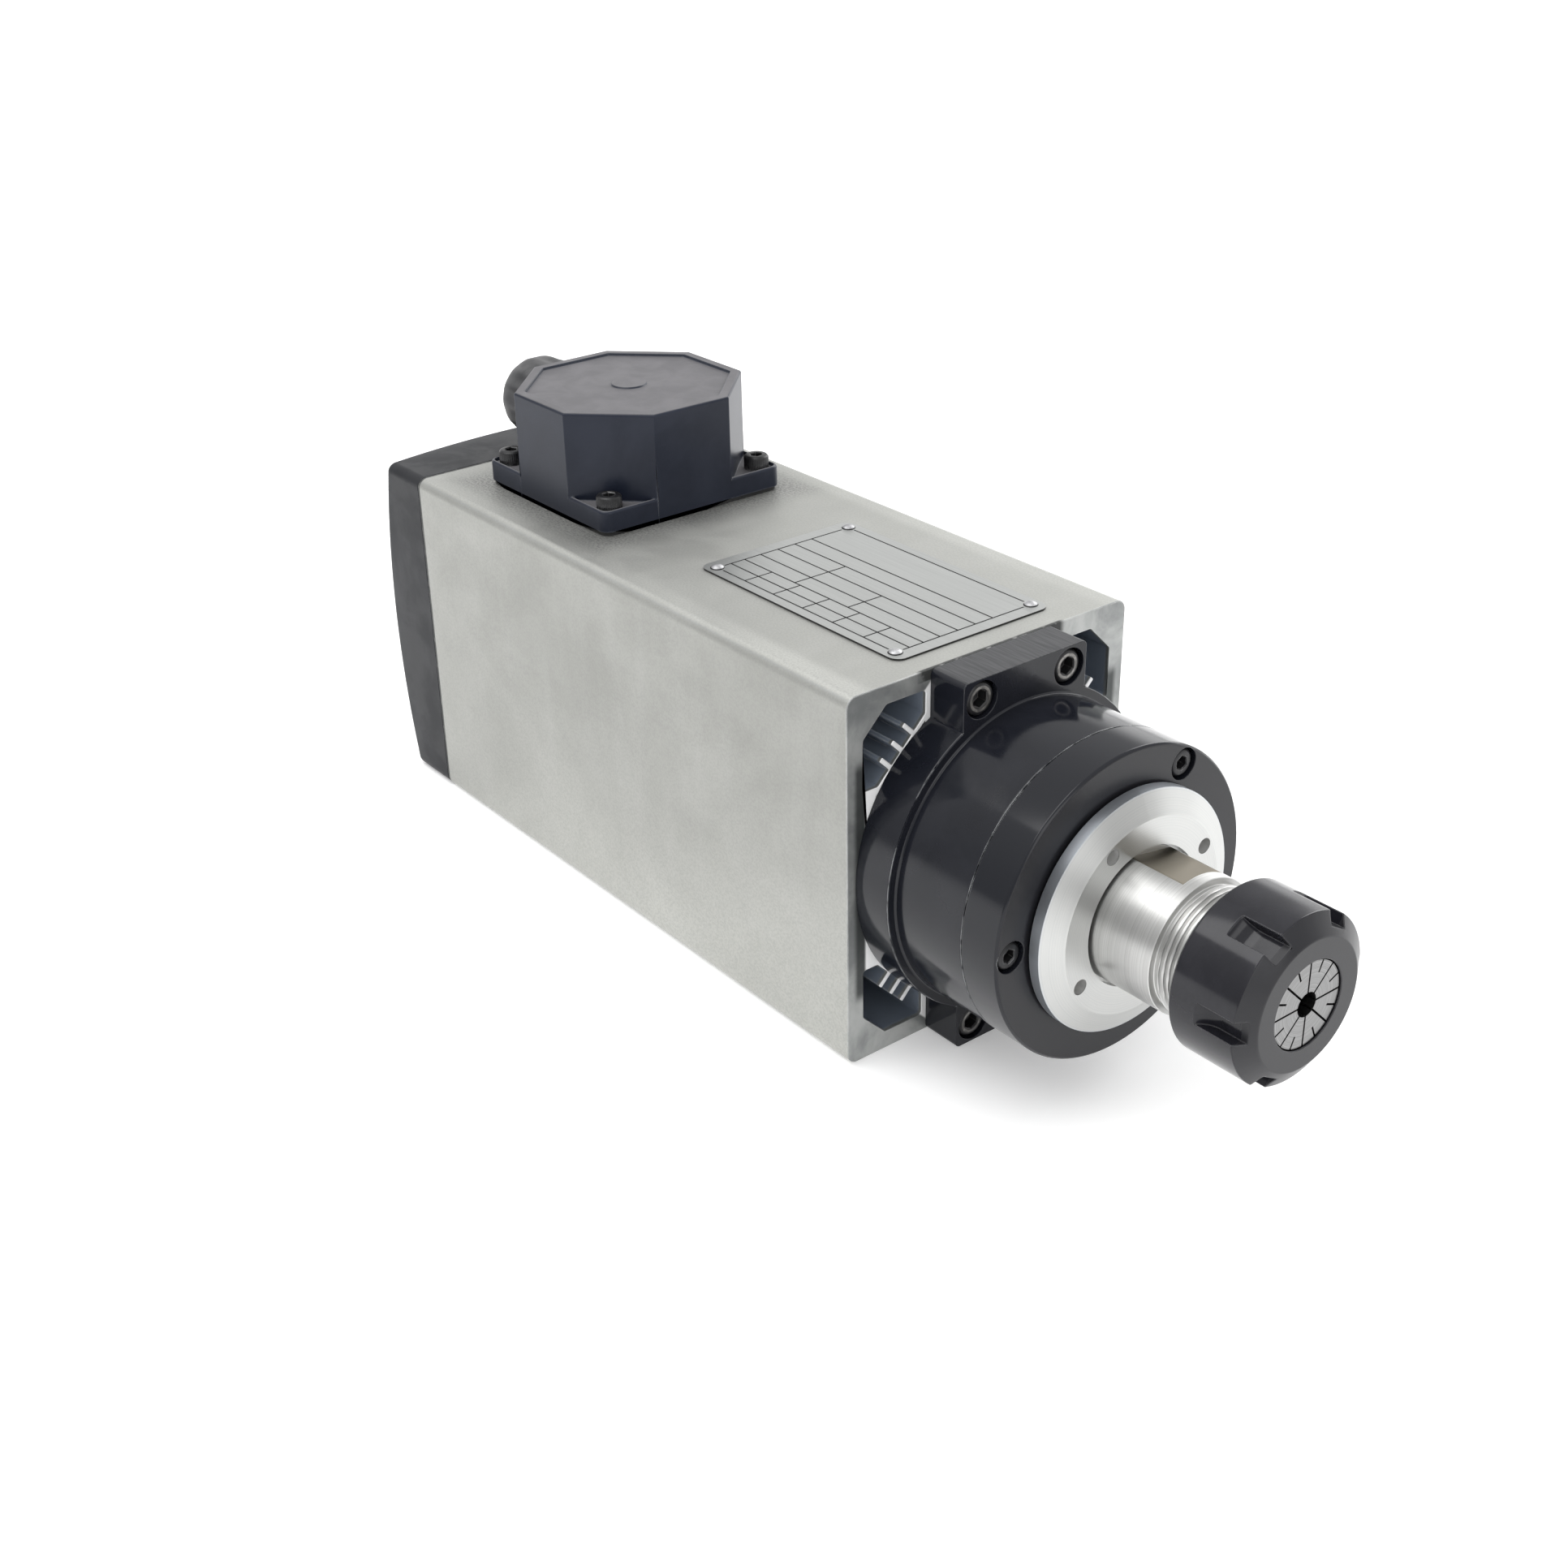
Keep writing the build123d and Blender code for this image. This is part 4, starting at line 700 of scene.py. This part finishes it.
def cap_head(head_r, head_h, key, length, core_r):
    """Knurled cap screw upright at z = 0, as rows by turn: shank tip, shank, underside, knurled side,
    bevelled top, hexagon socket and its floor.  The knurl is a cosine of the angle on the side."""
    turn = np.linspace(0.0, 2.0 * math.pi, head_around, endpoint=False)
    hexagon = key / 2 / np.cos((turn + math.pi / 6) % (math.pi / 3) - math.pi / 6)
    knurl = knurl_depth * (np.cos(turn * knurl_count) - 1.0)
    ones = np.ones_like(turn)
    rows = [(-length, centre_r * ones), (-length, core_r * ones), (0.0, core_r * ones),
            (0.0, (head_r - 0.2 * mm) * ones), (0.15 * mm, head_r * ones + knurl),
            (head_h - 0.6 * mm, head_r * ones + knurl), (head_h - 0.45 * mm, (head_r - 0.12 * mm) * ones),
            (head_h - 0.12 * mm, (head_r - 0.45 * mm) * ones), (head_h, (head_r - 0.7 * mm) * ones),
            (head_h, hexagon + 0.25 * mm), (head_h - 0.25 * mm, hexagon),
            (head_h - 0.6 * head_h, hexagon), (head_h - 0.68 * head_h, 0.5 * hexagon),
            (head_h - 0.72 * head_h, centre_r * ones)]
    return np.stack([np.stack([radius * np.cos(turn), radius * np.sin(turn), np.full_like(turn, height)],
                              axis=-1) for height, radius in rows])


def join_grids(name, grids):
    """One mesh from several grids that close round their second way."""
    built = bmesh.new()
    for grid in grids:
        part = mesh_from_grid(name, grid, closed=True)
        built.from_mesh(part)
        bpy.data.meshes.remove(part)
    mesh = bpy.data.meshes.new(name)
    built.to_mesh(mesh)
    built.free()
    return mesh


def screws(name, material, head, places, along_x=0.0):
    """Copies of one upright screw grid; along_x of 1 or -1 lays the head towards +X or -X."""
    if along_x:
        head = np.stack([along_x * head[..., 2], head[..., 0], along_x * head[..., 1]], axis=-1)
    grids = [head + np.array(each) * mm for each in places]
    piece = place(name + "_knurled", join_grids(name + "_knurled", grids), material)
    piece.modifiers.new("edges", "EDGE_SPLIT").split_angle = math.radians(32.0)
    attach(piece, "housing")
    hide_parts(name)


ear_screw = worn_screw("worn_screw", (0.014, 0.014, 0.015), (0.26, 0.25, 0.235), 0.5, key_ring)
black_screw = worn_screw("black_screw", (0.012, 0.012, 0.013), (0.28, 0.28, 0.28), 0.40)
m5_head = cap_head(head_r=4.25 * mm, head_h=5.0 * mm, key=4.0 * mm, length=21.9 * mm, core_r=2.1 * mm)
m4_head = {length: cap_head(head_r=3.5 * mm, head_h=4.0 * mm, key=3.0 * mm, length=length * mm,
                            core_r=1.65 * mm) for length in (16.9, 18.0, 10.5)}
cap_turns = [math.radians(each) for each in (60.0, 180.0, 300.0)]
screws("housing_screws", ear_screw, m5_head,
       [(ear_seat, y, axis_z + z) for y in (-ear_screw_y, ear_screw_y)
        for z in (-ear_screw_z, ear_screw_z)], 1.0)
screws("front_cap_screws", black_screw, m4_head[16.9],
       [(cap_seat, cap_circle_r * math.cos(turn), axis_z + cap_circle_r * math.sin(turn))
        for turn in cap_turns], 1.0)
screws("rear_cover_screws", black_screw, m4_head[18.0],
       [(cover_seat, y, axis_z + z) for y in (-cover_screw_y, cover_screw_y)
        for z in (-cover_screw_z, cover_screw_z)], -1.0)
screws("terminal_box_screws", black_screw, m4_head[10.5],
       [(box_middle + x, y, flange_seat) for x in (-flange_screw, flange_screw)
        for y in (-flange_screw, flange_screw)])

# ------------------------------------------------------------------ rear cover
# Moulded lid painted a satin dark grey, with a light orange-peel in the paint, which is thin along
# the edges.  The grille is cut through its crown, and four screws at its corners hold it.
cover_paint, cover_tree, cover_shader = finish("cover_paint", (0.025, 0.026, 0.029), 0.46,
                                               Specular_IOR_Level=0.17)
cover_shade = clouded(cover_tree, 35.0, (0.017, 0.018, 0.021), (0.028, 0.029, 0.033))
cover_shade = edge_worn_and_sheened(cover_shade, (0.13, 0.135, 0.14), Radius=0.7 * mm, Patch_Scale=300.0, Cover=0.30)
feed(cover_shader, Base_Color=cover_shade,
     Roughness=spread(use(cover_tree, clouding, Scale=60.0), 0.0, 1.0, 0.36, 0.48),
     Normal=use(cover_tree, grain, Scale=900.0, Strength=0.12))
dress(cover_paint, "rear_cover")
break_edges("rear_cover", 0.25 * mm)

# ------------------------------------------------------------------ terminal box and gasket
# Slate plastic, finely grained and paler on its upward faces, with its rounded edges painted paler as
# highlight, on a black rubber gasket.  Four cap screws hold the corners of its flange.


def upward(tree):
    """How far the surface faces up, from -1 to 1."""
    return axis_of(tree, "Z", add(tree, "NewGeometry").outputs["Normal"])


def plain_skin(name, colour, dark, light, roughness, cloud_scale, grain_scale, grain_strength, metallic=0.0):
    """Grained skin of one colour, which drifts in clouds between a darker and a lighter shade."""
    material, tree, shader = finish(name, colour, roughness, metallic)
    feed(shader, Base_Color=clouded(tree, cloud_scale, dark, light),
         Normal=use(tree, grain, Scale=grain_scale, Strength=grain_strength))
    return material


box_plastic, box_tree, box_shader = finish("box_plastic", (0.022, 0.024, 0.036), 0.4, Specular_IOR_Level=0.25)
box_up = upward(box_tree)
box_shade = clouded(box_tree, 45.0, (0.011, 0.014, 0.025), (0.018, 0.022, 0.036))
box_upward_tone = clouded(box_tree, 110.0, (0.118, 0.116, 0.123), (0.148, 0.145, 0.153))
box_shade = mixed(spread(box_up, 0.8, 0.97), box_shade, box_upward_tone)
# painted highlight: the box's rounded edges paler
box_shade = edge_worn_and_sheened(box_shade, (0.13, 0.14, 0.16), Radius=0.8 * mm, Patch_Scale=120.0, Cover=0.70)
feed(box_shader, Base_Color=box_shade, Roughness=spread(box_up, 0.8, 0.97, 0.34, 0.55),
     Normal=use(box_tree, grain, Scale=1500.0, Strength=0.18))
dress(box_plastic, "terminal_box")
break_edges("terminal_box", 0.25 * mm)
rubber = plain_skin("black_rubber", (0.012, 0.012, 0.012), (0.008, 0.008, 0.008), (0.022, 0.022, 0.022),
                    roughness=0.7, cloud_scale=150.0, grain_scale=1200.0, grain_strength=0.25)
dress(rubber, "terminal_box_gasket", "gland_seal")

# ------------------------------------------------------------------ cable gland
# Rough black nylon, screwed through the box's wall.  The dome nut is fluted for the fingers, and the
# flutes fade out over the dome.
gland_axis = 115.0 * mm
flute_count = 14
flute_depth = 0.45 * mm
gland_around = 168           # places in every row of the dome nut
gland_from, gland_dome, gland_mouth = -87.0 * mm, -96.0 * mm, -105.0 * mm


def flute_reach(xs, radii, angles):
    """Radius less the flutes: their depth times half of one less the cosine of their count times the
    angle, in full over the barrel and fading to none at the dome's mouth."""
    fade = np.clip((xs - gland_mouth) / (gland_dome - gland_mouth), 0.0, 1.0)
    start = np.clip((gland_from - xs) / (1.2 * mm), 0.0, 1.0)
    outside = radii > 9.5 * mm
    flutes = flute_depth * fade * start * (0.5 - 0.5 * np.cos(flute_count * angles))
    return radii - np.where(outside, flutes, 0.0)


# (x, r) in millimetres: the dome is a quarter of an ellipse, 9 long and 4 high, on the barrel's end
dome = [(-96.0 - 9.0 * math.sin(each), 8.5 + 4.0 * math.cos(each))
        for each in np.linspace(0.0, math.pi / 2, 9)]
gland_rows = profile_rows([(x * mm, r * mm) for x, r in [
    (-87.0, 9.1), (-87.0, 12.1), (-87.4, 12.5), *dome, (-105.0, 6.4), (-104.6, 6.0), (-99.5, 6.0),
    (-98.5, 9.1), (-87.0, 9.1)]][::-1], 1.0 * mm)
nylon, nylon_tree, nylon_shader = finish("gland_nylon", (0.018, 0.018, 0.021), 0.5)
nylon_shade = clouded(nylon_tree, 140.0, (0.012, 0.012, 0.014), (0.034, 0.034, 0.038))
# painted highlight: the dome's upward faces paler
nylon_top_light = clouded(nylon_tree, 200.0, (0.035, 0.035, 0.037), (0.075, 0.075, 0.078))
nylon_shade = mixed(spread(upward(nylon_tree), 0.35, 0.95), nylon_shade, nylon_top_light)
nylon_shade = edge_worn_and_sheened(nylon_shade, (0.14, 0.14, 0.15), Radius=0.5 * mm, Cover=0.35)
feed(nylon_shader, Base_Color=nylon_shade, Normal=use(nylon_tree, grain, Scale=700.0, Strength=0.35))
dome_grid = spun(gland_rows, gland_around, gland_axis, flute_reach)
dome_nut = place("gland_nut_fluted", mesh_from_grid("gland_nut_fluted", dome_grid, closed=True), nylon)
dome_nut.modifiers.new("edges", "EDGE_SPLIT").split_angle = math.radians(40.0)
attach(dome_nut, "housing")
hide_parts("gland_nut")
dress(nylon, "gland_body", "gland_locknut")
break_edges("gland_body", 0.3 * mm)

# ------------------------------------------------------------------ nameplate
# Aluminium foil plate, lightly brushed along its length.  Printed on it in black are a border and
# ruled rows and columns, left empty, and four round rivets hold its corners.
plate_centre = np.array([51.0, 1.5])
table_half = np.array([35.0, 22.0])
ink_height = 0.02 * mm
plate_z = 100.5 * mm
line_w = 0.42
rivet_clear = 2.4            # how far the border's lines stop short of its corners
foil, foil_tree, foil_shader = finish("plate_foil", (0.55, 0.56, 0.55), 0.38, 0.85)
foil_brush = noise(stretched(foil_tree, (30.0, 1500.0, 30.0)), 1.0, 3.0)
foil_shade = mixed(foil_brush, (0.40, 0.41, 0.40), (0.52, 0.53, 0.52))
# the plate's sides, which face away from up, are painted near-black: a painted shadow under its edges
foil_shade = mixed(spread(upward(foil_tree), 0.3, 0.7, 1.0, 0.0), foil_shade, (0.05, 0.05, 0.05))
feed(foil_shader, Base_Color=foil_shade, Normal=bumped(foil_brush, 0.08, 0.02 * mm))
dress(foil, "nameplate")

ink, ink_tree, ink_shader = finish("printed_ink", (0.010, 0.010, 0.010), 0.6, Specular_IOR_Level=0.2)
feed(ink_shader, Base_Color=clouded(ink_tree, 500.0, (0.004, 0.004, 0.004), (0.020, 0.020, 0.020)))


def ruled(strips):
    """Thin raised strips on the plate, each from its lowest and highest x and y in millimetres."""
    built = bmesh.new()
    for x_a, x_b, y_a, y_b in strips:
        corners = [built.verts.new((x * mm, y * mm, z)) for z in (plate_z, plate_z + ink_height)
                   for x, y in ((x_a, y_a), (x_b, y_a), (x_b, y_b), (x_a, y_b))]
        built.faces.new(corners[4:])
        for i in range(4):
            built.faces.new((corners[i], corners[(i + 1) % 4], corners[4 + (i + 1) % 4], corners[4 + i]))
    mesh = bpy.data.meshes.new("nameplate_rules")
    built.to_mesh(mesh)
    built.free()
    return mesh


table_from, table_to = plate_centre - table_half, plate_centre + table_half
row_shares = (0.0, 0.29, 0.42, 0.55, 0.68, 0.80, 0.90, 1.0)
row_ys = [table_to[1] - share * (table_to[1] - table_from[1]) for share in row_shares]
sixths = (1 / 6, 1 / 3, 1 / 2, 2 / 3, 5 / 6)
column_shares = {2: (0.30,), 3: (0.30, 0.60), 4: (0.30, 0.60), 5: sixths, 6: sixths}
strips = []
for y in row_ys:
    clear = rivet_clear if y in (row_ys[0], row_ys[-1]) else 0.0
    strips.append((table_from[0] + clear, table_to[0] - clear, y - line_w / 2, y + line_w / 2))
for x in (table_from[0], table_to[0]):
    strips.append((x - line_w / 2, x + line_w / 2, table_from[1] + rivet_clear, table_to[1] - rivet_clear))
for row, shares in column_shares.items():
    for x in (table_from[0] + share * 2.0 * table_half[0] for share in shares):
        strips.append((x - line_w / 2, x + line_w / 2, row_ys[row + 1], row_ys[row]))
rules = place("nameplate_rules", ruled(strips), ink)
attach(rules, "housing")

rivet_metal, rivet_tree, rivet_shader = finish("rivet_metal", (0.42, 0.43, 0.45), 0.5, 0.85)
# painted shade: a near-black ring round each rivet's foot
rivet_foot_shade = spread(axis_of(rivet_tree, "Z"), plate_z + 0.15 * mm, plate_z + 0.35 * mm, 1.0, 0.0)
rivet_shade = clouded(rivet_tree, 600.0, (0.34, 0.34, 0.35), (0.52, 0.52, 0.53))
feed(rivet_shader, Base_Color=mixed(rivet_foot_shade, rivet_shade, (0.02, 0.02, 0.02)))
dress(rivet_metal, "nameplate_rivets")

# ------------------------------------------------------------------ bearings and locknut
# Polished bearing steel rings and balls with a faint ground line round them, brass-brown moulded
# cages, and a blackened slotted locknut behind the front pair.
ring_steel = turned_metal("bearing_ground", (0.56, 0.57, 0.58), (0.72, 0.73, 0.74),
                          roughness=0.14, ring_scale=3000.0)[0]
cage_brown = plain_skin("cage_nylon", (0.30, 0.17, 0.06), (0.24, 0.13, 0.045), (0.36, 0.21, 0.08),
                        roughness=0.5, cloud_scale=200.0, grain_scale=1800.0, grain_strength=0.15)
for bearing in ("front_bearing_1", "front_bearing_2", "rear_bearing"):
    dress(ring_steel, bearing + "_outer_ring", bearing + "_inner_ring", bearing + "_balls")
    dress(cage_brown, bearing + "_cage")
dress(black_steel, "bearing_locknut")

# ------------------------------------------------------------------ stator and rotor
# Stamped core steel in thin sheets, varnished copper winding heads, and the rotor's cage cast in
# aluminium round its own stack of sheets.  The rear bearing plate and the fan's spacer are cast too.
sheets, sheets_tree, sheets_shader = finish("core_sheets", (0.22, 0.22, 0.23), 0.45, 0.8)
sheet_lines = line_noise(axis_of(sheets_tree, "X"), 2000.0, 1.0)
feed(sheets_shader, Base_Color=mixed(sheet_lines, (0.12, 0.12, 0.13), (0.32, 0.32, 0.33)),
     Normal=bumped(sheet_lines, 0.3, 0.05 * mm))
dress(sheets, "stator_core", "rotor_core")
copper, copper_tree, copper_shader = finish("varnished_copper", (0.50, 0.20, 0.09), 0.3, 0.7, Coat_Weight=0.6,
                                            Coat_Roughness=0.15)
strands = noise(stretched(copper_tree, (300.0, 1400.0, 1400.0)), 1.0, 3.0)
feed(copper_shader, Base_Color=mixed(strands, (0.30, 0.10, 0.04), (0.66, 0.28, 0.13)),
     Normal=bumped(strands, 0.6, 0.2 * mm))
dress(copper, "stator_winding")
cast = plain_skin("cast_aluminium", (0.48, 0.49, 0.50), (0.38, 0.39, 0.40), (0.56, 0.57, 0.58),
                  roughness=0.5, cloud_scale=90.0, grain_scale=900.0, grain_strength=0.4, metallic=0.9)
dress(cast, "rotor_cage", "rear_bearing_plate", "fan_spacer")

# ------------------------------------------------------------------ fan and small hardware
# Moulded black fan, blue spring steel washer and circlip, screws, and the terminal block with its
# brass screws and the three motor leads.
fan_nylon = plain_skin("fan_nylon", (0.02, 0.02, 0.022), (0.014, 0.014, 0.016), (0.032, 0.032, 0.035),
                       roughness=0.42, cloud_scale=80.0, grain_scale=1300.0, grain_strength=0.2)
dress(fan_nylon, "cooling_fan")
blue_spring = turned_metal("spring_blue", (0.10, 0.11, 0.16), (0.26, 0.28, 0.36),
                           roughness=0.3, ring_scale=2400.0, ring_share=0.3)[0]
dress(blue_spring, "preload_spring", "fan_circlip")
dress(black_screw, "rear_plate_screws")
block_plastic = plain_skin("block_plastic", (0.62, 0.60, 0.54), (0.54, 0.52, 0.46), (0.68, 0.66, 0.60),
                           roughness=0.5, cloud_scale=160.0, grain_scale=1300.0, grain_strength=0.15)
dress(block_plastic, "terminal_block")
brass = turned_metal("brass_plain", (0.60, 0.42, 0.16), (0.80, 0.60, 0.26),
                     roughness=0.28, ring_scale=2600.0, ring_share=0.3)[0]
dress(brass, "terminal_block_screws")
lead_skin = plain_skin("lead_skin", (0.42, 0.05, 0.03), (0.34, 0.035, 0.02), (0.50, 0.07, 0.045),
                       roughness=0.45, cloud_scale=120.0, grain_scale=900.0, grain_strength=0.12)
dress(lead_skin, "lead_wires")
